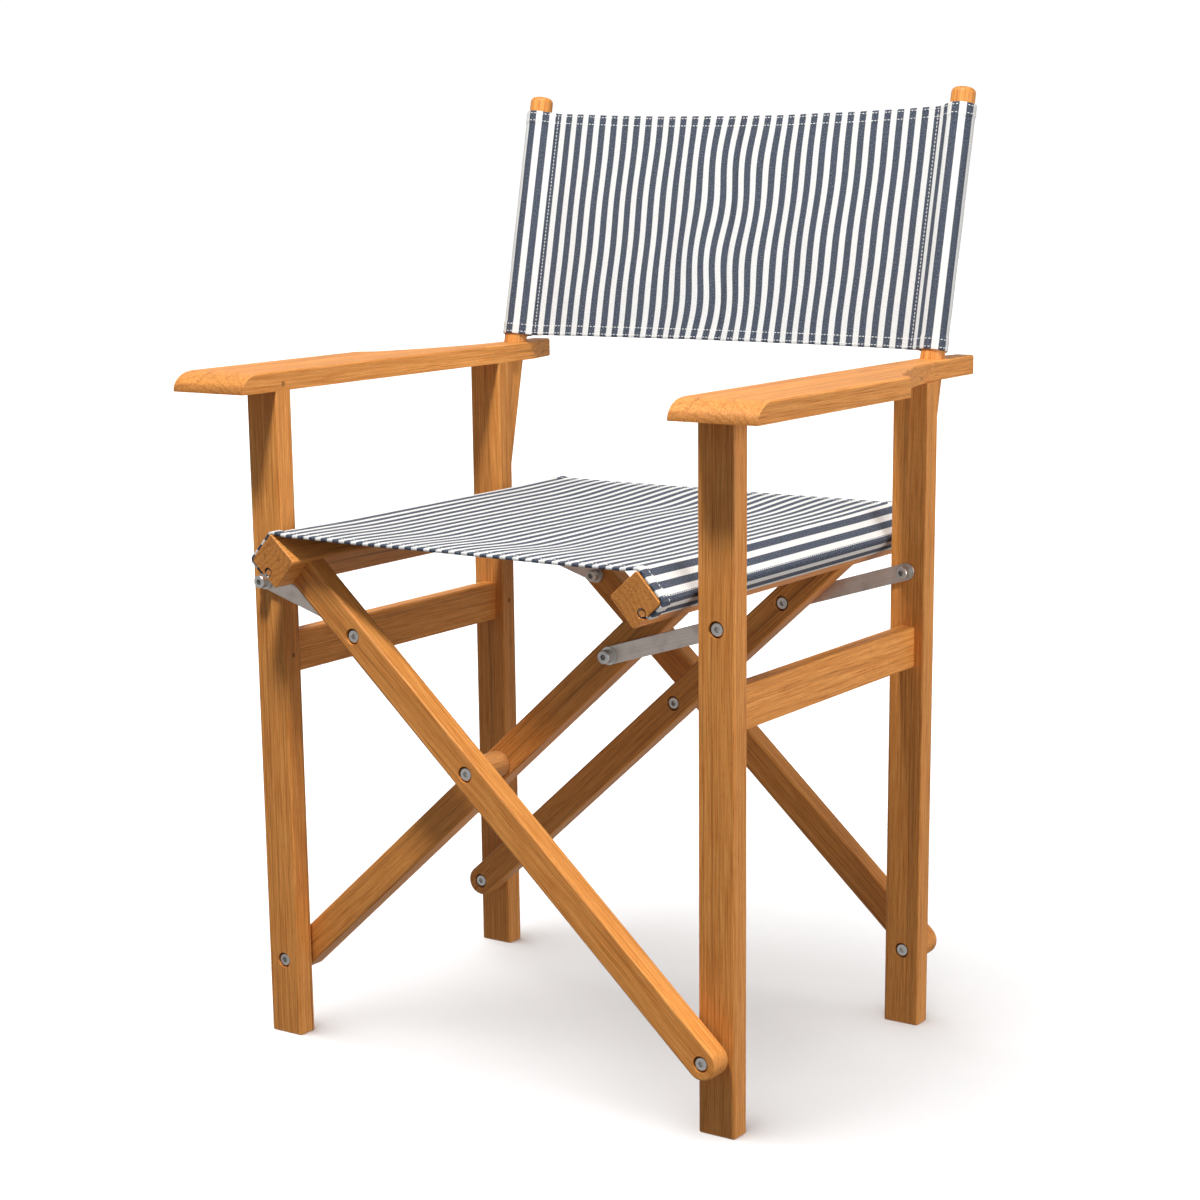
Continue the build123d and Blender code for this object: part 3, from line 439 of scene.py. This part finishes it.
class Cloth:
    """Collects one closed sheet of cloth, and the stitches in it, as one mesh."""

    def __init__(self):
        self.points, self.faces, self.uvs, self.kinds = [], [], [], []

    def add(self, points, faces, uvs, kind):
        first = len(self.points)
        self.points += [tuple(c * MM for c in p) for p in points]
        self.faces += [tuple(first + i for i in f) for f in faces]
        self.uvs += [(u * MM, v * MM) for u, v in uvs]
        self.kinds += [kind] * len(faces)

    def sheet(self, rows_in, rows_out, coordinates):
        """Two matching grids of points, joined round their rims into one closed skin."""
        tall, wide = len(rows_in), len(rows_in[0])
        count = tall * wide

        def inner(j, i):
            return j * wide + i

        def outer(j, i):
            return count + j * wide + i

        faces = []
        for j in range(tall - 1):
            for i in range(wide - 1):
                faces.append((inner(j, i), inner(j, i + 1), inner(j + 1, i + 1), inner(j + 1, i)))
                faces.append((outer(j, i), outer(j + 1, i), outer(j + 1, i + 1), outer(j, i + 1)))
        for j in range(tall - 1):
            faces.append((inner(j, 0), inner(j + 1, 0), outer(j + 1, 0), outer(j, 0)))
            last = wide - 1
            faces.append((inner(j, last), outer(j, last), outer(j + 1, last), inner(j + 1, last)))
        for i in range(wide - 1):
            faces.append((inner(0, i), outer(0, i), outer(0, i + 1), inner(0, i + 1)))
            top = tall - 1
            faces.append((inner(top, i), inner(top, i + 1), outer(top, i + 1), outer(top, i)))
        flat = [c for row in coordinates for c in row]
        points = [p for row in rows_in for p in row] + [p for row in rows_out for p in row]
        self.add(points, faces, flat + flat, 0)

    def stitch(self, middle, direction, normal, length=2.7, width=0.85, proud=0.28):
        """One raised stitch: a short pinched loop of thread lying on the cloth."""
        middle = Vector(middle)
        direction = Vector(direction).normalized()
        normal = Vector(normal).normalized()
        side = direction.cross(normal).normalized()
        points, faces = [], []
        stations, sides = 6, 8
        for k in range(stations):
            t = -1 + 2 * (k + 0.5) / stations
            bulge = math.sqrt(max(0.0, 1 - t * t * 0.92))
            centre = middle + direction * (t * length / 2) + normal * (proud * bulge - 0.25)
            for m in range(sides):
                angle = 2 * math.pi * m / sides
                reach = side * math.cos(angle) * width / 2 + normal * math.sin(angle) * width * 0.42
                points.append(centre + reach * bulge)
        for k in range(stations - 1):
            for m in range(sides):
                n = (m + 1) % sides
                faces.append((k * sides + m, k * sides + n, (k + 1) * sides + n, (k + 1) * sides + m))
        faces.append(tuple(range(sides))[::-1])
        faces.append(tuple((stations - 1) * sides + m for m in range(sides)))
        self.add([tuple(p) for p in points], faces, [(0.0, 0.0)] * len(points), 1)

    def build(self, name, materials):
        mesh = bpy.data.meshes.new(name)
        mesh.from_pydata(self.points, [], self.faces)
        mesh.polygons.foreach_set("material_index", self.kinds)
        mesh.polygons.foreach_set("use_smooth", [True] * len(self.faces))
        layer = mesh.uv_layers.new(name="cloth")
        corner = np.empty(len(mesh.loops), dtype=np.int32)
        mesh.loops.foreach_get("vertex_index", corner)
        layer.data.foreach_set("uv", np.array(self.uvs)[corner].astype(np.float32).ravel())
        for material in materials:
            mesh.materials.append(material)
        mesh.validate()
        mesh.update()
        made = bpy.data.objects.new(name, mesh)
        bpy.context.scene.collection.objects.link(made)
        return made


def smooth_step(value, low, high):
    t = min(1.0, max(0.0, (value - low) / (high - low)))
    return t * t * (3 - 2 * t)


def arc(centre, radius, start, end, steps):
    """Points on an arc, angles in radians, ends included."""
    return [
        (centre[0] + radius * math.cos(start + (end - start) * k / steps),
         centre[1] + radius * math.sin(start + (end - start) * k / steps))
        for k in range(steps + 1)
    ]


def hem_share(from_edge):
    """1 where the cloth is folded over into a hem, 0 where it is single."""
    return 1 - smooth_step(from_edge, HEM_DEPTH - 0.6, HEM_DEPTH + 0.9)


def sleeve_side(share):
    """How far a sleeve's extra hem thickness grows inward, and how far it is lifted, along its cloth."""
    return 1 - smooth_step(share, 0.02, 0.16), smooth_step(share, 0.9, 1.0)


def spread(start, end, steps):
    """Points between two places, both left out."""
    return [
        (start[0] + (end[0] - start[0]) * k / steps, start[1] + (end[1] - start[1]) * k / steps)
        for k in range(1, steps)
    ]


# ------------------------------------------------------------------ seat cloth
class Seat:
    """The seat cloth's cross-section, from the right rail's rod to the left one's.

    A rail's own coordinates are along the bar, outwards, and across it, downwards and outwards.
    """

    def right_half(self):
        """Middle line of the cloth on the right side: (x, z, thickness, share of the full hem)."""
        c, s = math.cos(BAR_ANGLE), math.sin(BAR_ANGLE)
        face = RAIL_ACROSS / 2
        lip = (GROOVE_LIP, face)
        lift = CLOTH_GAP + CLOTH / 2
        quarter = math.pi / 2
        tail = arc(GROOVE, POCKET_RADIUS, math.radians(128), math.radians(415), 30)
        mouth = [(GROOVE_LIP - lift, face - 0.9)]
        lip_turn = arc(lip, lift, math.pi, quarter, 6)
        reach, drop = RAIL_ALONG / 2 - RAIL_CORNER, face - RAIL_CORNER
        radius = RAIL_CORNER + lift
        low_corner = arc((reach, drop), radius, quarter, 0.0, 8)
        top_end = BAR_ANGLE - quarter
        top_corner = arc((reach, -drop), radius, 0.0, top_end, 9)
        line = tail + mouth + lip_turn
        line += spread(lip_turn[-1], low_corner[0], 12) + low_corner
        line += spread(low_corner[-1], top_corner[0], 22) + top_corner
        pocket = len(tail) + len(mouth)
        placed = []
        for k, (a, d) in enumerate(line):
            x = RAIL_CENTRE[0] + a * c + d * s
            z = RAIL_CENTRE[1] + a * s - d * c
            thick = POCKET_CLOTH + (CLOTH - POCKET_CLOTH) * smooth_step(k, pocket - 1, pocket + 5)
            placed.append((x, z, thick, smooth_step(k, pocket - 1, pocket + 7)))
        return placed

    def profile(self):
        """The whole line, with its outward normals and how far it is off the rails, and its length."""
        right = self.right_half()
        crest_x, crest_z = right[-1][0], right[-1][1]
        steps = 74
        span = []
        for k in range(1, steps):
            t = -1 + 2 * k / steps
            span.append((-crest_x * t, crest_z, CLOTH, 1.0))
        left = [(-x, z, thick, hem) for x, z, thick, hem in reversed(right)]
        line = right + span + left
        lengths = [0.0]
        for (x0, z0, *_), (x1, z1, *_) in zip(line, line[1:]):
            lengths.append(lengths[-1] + math.hypot(x1 - x0, z1 - z0))
        middle = lengths[-1] / 2
        out = []
        for k, (x, z, thick, hem) in enumerate(line):
            before, after = line[max(0, k - 1)], line[min(len(line) - 1, k + 1)]
            tx, tz = after[0] - before[0], after[1] - before[1]
            size = math.hypot(tx, tz)
            free = smooth_step(crest_x - abs(x), 2.0, 16.0)
            out.append((x, z, tz / size, -tx / size, thick, hem, free, lengths[k] - middle))
        return out, lengths[-1]


def seat_rows():
    """Depths of the seat cloth's rows, and how far each is round the hem's folded edge."""
    turn = (CLOTH + HEM_EXTRA) / 2
    bends = np.linspace(0.1, math.pi / 2, 6)
    rows = [(SEAT_FRONT + turn * (1 - math.cos(a)), math.sqrt(math.sin(a))) for a in bends]
    for d in (3.0, 4.5, 6.5, 8.5, 9.5, 10.5, 11.2, 12.0, 12.8, 14.0, 16.0):
        rows.append((SEAT_FRONT + d, 1.0))
    for y in np.linspace(SEAT_FRONT + 20, SEAT_REAR - 20, 60):
        rows.append((float(y), 1.0))
    mirrored = [(SEAT_REAR - (y - SEAT_FRONT), r) for y, r in rows[:17]]
    return rows + mirrored[::-1]


def seat_drop(x, y, crest):
    """Height of the cloth between the rails, against their tops: its sag and a faint unevenness."""
    free = max(0.0, 1 - (x / crest) ** 2)
    inside = smooth_step(min(y - SEAT_FRONT, SEAT_REAR - y), 0.0, 110.0)
    sag = SEAT_EDGE_SAG + (SEAT_SAG - SEAT_EDGE_SAG) * inside
    wave = 0.55 * math.sin(x / 31.0 + 0.6) * math.sin(y / 47.0 + 1.1)
    wave += 0.35 * math.sin(x / 17.0 - y / 63.0)
    near_edge = math.exp(-(y - SEAT_FRONT) / 45.0) + math.exp(-(SEAT_REAR - y) / 45.0)
    wave += 0.5 * near_edge * math.sin(x / 26.0 + 2.0)
    return (wave * (0.3 + 0.7 * inside) - sag) * free


def build_seat():
    """The seat cloth, front hem to back hem, and the length of its cross-section."""
    line, length = Seat().profile()
    crest = max(x for x, *_ in line if x > 0)
    rows_in, rows_out, flat = [], [], []
    for y, roundness in seat_rows():
        from_edge = min(y - SEAT_FRONT, SEAT_REAR - y)
        hem = hem_share(from_edge)
        stitched = STITCH_DIMPLE * math.exp(-((from_edge - STITCH_INSET) / 1.1) ** 2)
        row_in, row_out, row_flat = [], [], []
        for x, z, nx, nz, thick, hemmed, free, u in line:
            full = thick + HEM_EXTRA * hem * hemmed
            low = -thick / 2 - (full - thick) * free
            high = low + full
            middle, half = (low + high) / 2, full / 2 * roundness
            low, high = middle - half, middle + half - stitched * hemmed
            dz = seat_drop(x, y, crest)
            row_in.append((x + nx * low, y, z + nz * low + dz))
            row_out.append((x + nx * high, y, z + nz * high + dz))
            row_flat.append((u, y))
        rows_in.append(row_in)
        rows_out.append(row_out)
        flat.append(row_flat)
    cloth = Cloth()
    cloth.sheet(rows_in, rows_out, flat)
    stitch_seat(cloth, line, crest)
    return cloth, length


def stitch_pocket(cloth, table):
    """The row that closes the rod's pocket, along the seat's outer sides."""
    run = SEAT_REAR - SEAT_FRONT - 2 * ROW_MARGIN
    count = int(run / STITCH_PITCH)
    for u in (table[0, 7] + POCKET_ROW, table[-1, 7] - POCKET_ROW):
        x, z, nx, nz, thick = (np.interp(u, table[:, 7], table[:, c]) for c in range(5))
        for k in range(count):
            y = SEAT_FRONT + ROW_MARGIN + (k + 0.5) * run / count
            hem = hem_share(min(y - SEAT_FRONT, SEAT_REAR - y))
            high = thick / 2 + HEM_EXTRA * hem - 0.02
            cloth.stitch((x + nx * high, y, z + nz * high), (0, 1, 0), (nx, 0, nz))


def stitch_seat(cloth, line, crest):
    """A row of stitches through the hem at the front and at the back, on both faces."""
    table = np.array(line)
    stitch_pocket(cloth, table)
    first, last = table[0, 7] + HEM_STITCH_START, table[-1, 7] - HEM_STITCH_START
    count = int((last - first) / STITCH_PITCH)
    for y in (SEAT_FRONT + STITCH_INSET, SEAT_REAR - STITCH_INSET):
        for k in range(count):
            u = first + (k + 0.5) * (last - first) / count
            x, z, nx, nz, thick, hemmed, free = (np.interp(u, table[:, 7], table[:, c]) for c in range(7))
            full = thick + HEM_EXTRA * hemmed
            low = -thick / 2 - (full - thick) * free
            dz = seat_drop(x, y, crest)
            along = (-nz, 0, nx)
            high = low + full - 0.2
            cloth.stitch((x + nx * high, y, z + nz * high + dz), along, (nx, 0, nz))
            if free > 0.9:
                cloth.stitch((x + nx * low, y, z + nz * low + dz), along, (-nx, 0, -nz))


# ------------------------------------------------------------------ back cloth
BACK_UP = Vector((0, math.sin(POST_LEAN), math.cos(POST_LEAN)))
BACK_REAR = Vector((0, math.cos(POST_LEAN), -math.sin(POST_LEAN)))
JOIN_X = 218.5                 # where a sleeve's two layers meet and the single panel begins
SLEEVE_RADIUS = POST_RADIUS + CLOTH_GAP + CLOTH / 2
FLAP_X = 210.0                 # edge of the sleeve's turned-in layer, sewn behind the panel
TOP_DIP = 5.0
BOTTOM_LIFT = 3.0


def back_point(x, rear, z):
    """A point of the back: across, behind the posts' plane, and at a height measured on the posts."""
    rise = (z - POST_FOOT_Z) / math.cos(POST_LEAN)
    return Vector((x, POST_Y, POST_FOOT_Z)) + BACK_UP * rise + BACK_REAR * rear


def back_rows():
    """Height of each row as a share, plus an offset in mm from the nearer edge, and the hem's roundness."""
    turn = (CLOTH + HEM_EXTRA) / 2
    near = [(turn * (1 - math.cos(a)), math.sqrt(math.sin(a))) for a in np.linspace(0.1, math.pi / 2, 6)]
    near += [(d, 1.0) for d in (1.9, 2.9, 4.5, 6.5, 8.5, 9.6, 10.6, 11.4, 12.0, 12.8, 14.0, 16.0)]
    rows = [(0.0, d, r) for d, r in near]
    rows += [(float(t), 0.0, 1.0) for t in np.linspace(0.09, 0.91, 34)]
    rows += [(1.0, -d, r) for d, r in reversed(near)]
    return rows


def edge_heights(x):
    """Bottom and top of the back cloth at a distance from the middle: its edges curve a little."""
    bow = 1 - min(1.0, abs(x) / POST_X) ** 2
    return BACK_BOTTOM + BOTTOM_LIFT * bow, BACK_TOP - TOP_DIP * bow


def row_height(row, x):
    """Height on the posts of one row of the back, at a distance from the middle."""
    bottom, top = edge_heights(x)
    return bottom + (top - bottom) * row[0] + row[1]


def row_edge(row):
    """Distance of a row of the back from the nearer folded edge."""
    return abs(row[1]) if row[1] else BACK_TOP - BACK_BOTTOM


def panel_depth(x, z):
    """How far the panel's middle lies behind the posts' plane."""
    inside = max(0.0, 1 - (x / JOIN_X) ** 2)
    t = (z - BACK_BOTTOM) / (BACK_TOP - BACK_BOTTOM)
    bow = BACK_SAG * inside * (0.8 + 0.4 * t * (1 - t))
    wave = 0.7 * math.sin(x / 23.0 + 0.5 * math.sin(z / 60.0)) + 0.5 * math.sin(x / 11.0 + z / 90.0)
    pull = 0.9 * math.exp(-(JOIN_X - abs(x)) / 14.0) * math.sin((JOIN_X - abs(x)) / 5.0)
    return bow + (wave * 0.8 + pull) * min(1.0, 3 * inside)


def stripe_drift(x, z):
    """How far the stripes wander sideways where the cloth has stretched, most in the middle."""
    inside = max(0.0, 1 - (x / JOIN_X) ** 2)
    wander = 0.9 * math.sin(z / 37.0 + x / 90.0) + 0.7 * math.sin(z / 14.0 - x / 60.0)
    middle = 1.9 * math.exp(-((x + 15.0) / 48.0) ** 2) * math.sin(z / 16.0 + x / 70.0)
    return inside * (wander + middle)


def panel_faces(x, row):
    """Front and rear offsets of the panel at a place, with its hems and the sleeve's turned-in layer."""
    hem = hem_share(row_edge(row))
    front = -CLOTH / 2
    rear = CLOTH / 2 + HEM_EXTRA * hem
    flap = smooth_step(abs(x), FLAP_X - 0.6, FLAP_X + 0.6)
    rear += (CLOTH + HEM_EXTRA * hem) * flap
    middle, half = (front + rear) / 2, (rear - front) / 2 * row[2]
    return middle - half, middle + half


def build_panel(side):
    """Half of the panel between the sleeves, from the sleeve to the middle of the chair."""
    columns = list(np.linspace(JOIN_X, FLAP_X + 1.0, 8)) + [FLAP_X + 0.4, FLAP_X - 0.2, FLAP_X - 0.8]
    columns += list(np.linspace(FLAP_X - 2.5, 0.0, 66))
    rows_front, rows_rear, flat = [], [], []
    for row in back_rows():
        row_front, row_rear, row_flat = [], [], []
        for x in columns:
            z = row_height(row, x)
            depth = panel_depth(side * x, z)
            drift = stripe_drift(side * x, z)
            front, rear = panel_faces(x, row)
            groove = SEAM_DIMPLE * math.exp(-((x - SEAM_X) / 1.3) ** 2)
            row_front.append(tuple(back_point(side * x, depth + front + groove, z)))
            row_rear.append(tuple(back_point(side * x, depth + rear - groove, z)))
            row_flat.append((side * x + drift, z))
        rows_front.append(row_front)
        rows_rear.append(row_rear)
        flat.append(row_flat)
    cloth = Cloth()
    if side > 0:
        cloth.sheet(rows_rear, rows_front, flat)
    else:
        cloth.sheet(rows_front, rows_rear, flat)
    stitch_panel(cloth, side)
    return cloth


def stitch_panel(cloth, side):
    """Two rows along each hem and one up the seam beside the sleeve, on both faces."""
    count = int(JOIN_X / STITCH_PITCH)
    for k in range(count):
        x = (k + 0.5) * JOIN_X / count
        bottom, top = edge_heights(x)
        for z in (bottom + HEM_ROWS[0], bottom + HEM_ROWS[1], top - HEM_ROWS[1], top - HEM_ROWS[0]):
            depth = panel_depth(side * x, z)
            front, rear = panel_faces(x, (0.0, 5.0, 1.0))
            cloth.stitch(tuple(back_point(side * x, depth + front, z)), (1, 0, 0), -BACK_REAR)
            cloth.stitch(tuple(back_point(side * x, depth + rear, z)), (1, 0, 0), BACK_REAR)
    bottom, top = edge_heights(SEAM_X)
    run = top - bottom - 2 * ROW_MARGIN
    count = int(run / STITCH_PITCH)
    for k in range(count):
        z = bottom + ROW_MARGIN + (k + 0.5) * run / count
        row = (0.0, min(z - bottom, top - z), 1.0)
        depth = panel_depth(side * SEAM_X, z)
        front, rear = panel_faces(SEAM_X, row)
        cloth.stitch(tuple(back_point(side * SEAM_X, depth + front + SEAM_DIMPLE, z)), BACK_UP, -BACK_REAR)
        cloth.stitch(tuple(back_point(side * SEAM_X, depth + rear - SEAM_DIMPLE, z)), BACK_UP, BACK_REAR)


def sleeve_line():
    """Middle line of a sleeve round a post, as (outwards from the post's axis, to the rear)."""
    start = JOIN_X - POST_X
    touch = math.acos(SLEEVE_RADIUS / -start)
    contact = (-SLEEVE_RADIUS * math.cos(touch), -SLEEVE_RADIUS * math.sin(touch))
    front = [(start, 0.0)] + spread((start, 0.0), contact, 10)
    wrap = arc((0, 0), SLEEVE_RADIUS, math.pi + touch, 3 * math.pi - touch, 44)
    rear = [(p, -q) for p, q in reversed(front)]
    rear = [(p, q + CLOTH * smooth_step(-p, -contact[0], -start)) for p, q in rear]
    return front + wrap + rear


def build_sleeve(side):
    """One sleeve round its post, and the length of cloth in it."""
    line = sleeve_line()
    lengths = [0.0]
    for a, b in zip(line, line[1:]):
        lengths.append(lengths[-1] + math.hypot(b[0] - a[0], b[1] - a[1]))
    rows_in, rows_out, flat = [], [], []
    for row in back_rows():
        extra = SLEEVE_HEM * hem_share(row_edge(row))
        row_in, row_out, row_flat = [], [], []
        for k, (p, q) in enumerate(line):
            before, after = line[max(0, k - 1)], line[min(len(line) - 1, k + 1)]
            tp, tq = after[0] - before[0], after[1] - before[1]
            size = math.hypot(tp, tq)
            np_, nq = tq / size, -tp / size
            share = k / (len(line) - 1)
            inward, lifted = sleeve_side(share)
            low = -CLOTH / 2 - extra * inward + extra * lifted
            high = CLOTH / 2 + extra * (1 - inward) + extra * lifted
            middle, half = (low + high) / 2, (high - low) / 2 * row[2]
            crumple = 0.22 * math.sin(lengths[k] / 6.0 + 3.0) * math.sin(row[0] * 19.0 + side)
            crumple *= math.sin(share * math.pi)
            z = row_height(row, POST_X + p)
            for target, offset in ((row_in, middle - half), (row_out, middle + half)):
                reach = offset + max(0.0, crumple)
                target.append(tuple(back_point(side * (POST_X + p + np_ * reach), q + nq * reach, z)))
            row_flat.append((side * (JOIN_X + lengths[k]), z))
        rows_in.append(row_in)
        rows_out.append(row_out)
        flat.append(row_flat)
    cloth = Cloth()
    if side > 0:
        cloth.sheet(rows_in, rows_out, flat)
    else:
        cloth.sheet(rows_out, rows_in, flat)
    stitch_sleeve(cloth, side, line, lengths)
    return cloth, lengths[-1]


def stitch_sleeve(cloth, side, line, lengths):
    """The hems' rows of stitches, carried on round the post."""
    count = int(lengths[-1] / STITCH_PITCH)
    table = np.array(line)
    for k in range(count):
        u = (k + 0.5) * lengths[-1] / count
        p, q = (np.interp(u, lengths, table[:, c]) for c in (0, 1))
        p2, q2 = (np.interp(min(u + 0.5, lengths[-1]), lengths, table[:, c]) for c in (0, 1))
        p1, q1 = (np.interp(max(u - 0.5, 0.0), lengths, table[:, c]) for c in (0, 1))
        size = math.hypot(p2 - p1, q2 - q1)
        tp, tq = (p2 - p1) / size, (q2 - q1) / size
        share = u / lengths[-1]
        inward, lifted = sleeve_side(share)
        lift = CLOTH / 2 + SLEEVE_HEM * (1 - inward) + SLEEVE_HEM * lifted
        normal = Vector((side * tq, 0, 0)) + BACK_REAR * (-tp)
        along = Vector((side * tp, 0, 0)) + BACK_REAR * tq
        bottom, top = edge_heights(POST_X + p)
        for z in (bottom + HEM_ROWS[0], bottom + HEM_ROWS[1], top - HEM_ROWS[1], top - HEM_ROWS[0]):
            middle = back_point(side * (POST_X + p), q, z) + normal * lift
            cloth.stitch(tuple(middle), along, normal)


def make_cloth():
    """All five sheets: the seat, and on each side a sleeve and a half panel that ride on that side's frame;
    the CAD canvases they replace are hidden.
    """
    seat_stripes = canvas("seat_canvas_cloth")
    back_stripes = canvas("back_canvas_cloth")

    cloth, width = build_seat()
    seat = cloth.build("seat_cloth", (seat_stripes, THREAD))
    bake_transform(seat)
    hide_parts("seat_canvas")

    pieces = []
    for side, word in ((-1, "left"), (1, "right")):
        cloth, round_post = build_sleeve(side)
        sleeve = cloth.build(f"back_sleeve_{word}", (back_stripes, THREAD))
        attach(sleeve, f"{word}_frame")
        panel = build_panel(side).build(f"back_panel_{word}", (back_stripes, THREAD))
        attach(panel, f"{word}_frame")
        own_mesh(panel)
        pieces += [sleeve, panel]
    for piece in pieces:
        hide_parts("back_canvas")


make_cloth()


# ------------------------------------------------------------------ floor, light and camera
def lamp_object(name, lamp, towards, receivers):
    """A lamp turned so that it shines from the given direction, on the given objects."""
    made = bpy.data.objects.new(name, lamp)
    made.rotation_euler = Vector(towards).to_track_quat("Z", "Y").to_euler()
    bpy.context.scene.collection.objects.link(made)
    lit = bpy.data.collections.new(f"{name}_receivers")
    for obj in receivers:
        lit.objects.link(obj)
    made.light_linking.receiver_collection = lit
    return made


def sun(name, towards, strength, angle, receivers):
    lamp = bpy.data.lights.new(name, "SUN")
    lamp.energy = strength
    lamp.angle = math.radians(angle)
    return lamp_object(name, lamp, towards, receivers)


def softbox(name, place, target, size, power, receivers):
    lamp = bpy.data.lights.new(name, "AREA")
    lamp.shape = "DISK"
    lamp.size = size
    lamp.energy = power
    made = lamp_object(name, lamp, Vector(place) - Vector(target), receivers)
    made.location = place
    return made


def stage_piece(name, mesh, material):
    """A piece of the studio. The camera sees it, but it lights and shades nothing."""
    mesh.materials.append(material)
    made = bpy.data.objects.new(name, mesh)
    bpy.context.scene.collection.objects.link(made)
    made.visible_diffuse = False
    made.visible_glossy = False
    made.visible_shadow = False
    return made


def make_floor():
    """A wide white floor. It catches soft shadows and throws no light back."""
    made, g, shader = new_material("studio_floor")
    where = g.node("ShaderNodeTexCoord")
    grain = g.noise(where.outputs["Object"], (6.0, 6.0, 6.0), 3.0)
    colour = g.ramp(grain, (0.3, srgb(247, 247, 247)), (0.7, srgb(250, 250, 250)))
    g.feed(shader.inputs["Base Color"], colour)
    g.feed(shader.inputs["Roughness"], g.math("MULTIPLY_ADD", grain, 0.1, 0.85))
    shader.inputs["Specular IOR Level"].default_value = 0.1
    mesh = bpy.data.meshes.new("studio_floor")
    reach = 18.0
    mesh.from_pydata([(-reach, -reach, 0), (reach, -reach, 0), (reach, reach, 0), (-reach, reach, 0)], [],
                     [(0, 1, 2, 3)])
    return stage_piece("studio_floor", mesh, made)


def make_backdrop():
    """A large white shell round the floor, seen by the camera only."""
    made, g, shader = new_material("studio_backdrop")
    shader.inputs["Base Color"].default_value = (0.0, 0.0, 0.0, 1.0)
    shader.inputs["Emission Color"].default_value = (1.0, 1.0, 1.0, 1.0)
    shader.inputs["Emission Strength"].default_value = 1.0
    mesh = bpy.data.meshes.new("studio_backdrop")
    sides, rings, radius = 48, 12, 17.0
    points, faces = [], []
    for k in range(rings):
        lean = math.radians(-4 + 92 * k / (rings - 1))
        for m in range(sides):
            angle = 2 * math.pi * m / sides
            out = radius * math.cos(lean)
            points.append((out * math.cos(angle), out * math.sin(angle), radius * math.sin(lean)))
    for k in range(rings - 1):
        for m in range(sides):
            n = (m + 1) % sides
            faces.append((k * sides + m, k * sides + n, (k + 1) * sides + n, (k + 1) * sides + m))
    mesh.from_pydata(points, [], faces)
    return stage_piece("studio_backdrop", mesh, made)


def make_studio():
    """A high key light, a broad side light, a sun behind and a wash on the floor, in an even glow.

    Reflections see a brighter glow than other rays do."""
    world = bpy.data.worlds.new("studio")
    world.use_nodes = True
    g = Graph(world.node_tree)
    sky = world.node_tree.nodes["Background"]
    sky.inputs["Color"].default_value = (1.0, 1.0, 1.0, 1.0)
    ray = g.node("ShaderNodeLightPath")
    g.feed(sky.inputs["Strength"], g.math("MULTIPLY_ADD", ray.outputs["Is Glossy Ray"], 0.27, 0.23))
    bpy.context.scene.world = world
    floor = make_floor()
    make_backdrop()
    chair = [o for o in bpy.data.objects if o.type == "MESH" and not o.name.startswith("studio_")]
    softbox("key", (0.16, -0.95, 2.3), (0.0, -0.05, 0.5), 0.3, 52.0, chair)
    softbox("side", (2.15, -0.2, 0.8), (0.0, 0.0, 0.45), 1.5, 28.0, chair)
    back_light = sun("back_light", (-0.7, 1.0, 0.45), 1.4, 40.0, chair)
    back_light.visible_glossy = False
    sun("floor_wash", (-0.35, -0.45, 1.0), 4.65, 95.0, [floor])
    bpy.context.scene.view_settings.view_transform = "Standard"


def make_camera():
    """The photograph's camera, solved from the chair's own corners in the picture."""
    yaw, pitch, roll = (math.radians(a) for a in (34.27, -12.81, -0.65))
    forward = Vector((-math.sin(yaw) * math.cos(pitch), math.cos(yaw) * math.cos(pitch), math.sin(pitch)))
    level = Vector((math.cos(yaw), math.sin(yaw), 0.0))
    upright = level.cross(forward)
    right = level * math.cos(roll) + upright * math.sin(roll)
    up = upright * math.cos(roll) - level * math.sin(roll)
    data = bpy.data.cameras.new("camera")
    data.sensor_width = 36.0
    data.lens = 75.31
    data.shift_x = 0.0009
    data.shift_y = 0.0998
    made = bpy.data.objects.new("camera", data)
    bpy.context.scene.collection.objects.link(made)
    axes = Matrix((right, up, -forward)).transposed().to_4x4()
    made.matrix_world = Matrix.Translation((1.3088, -1.9404, 0.8323)) @ axes
    bpy.context.scene.camera = made


make_studio()
make_camera()
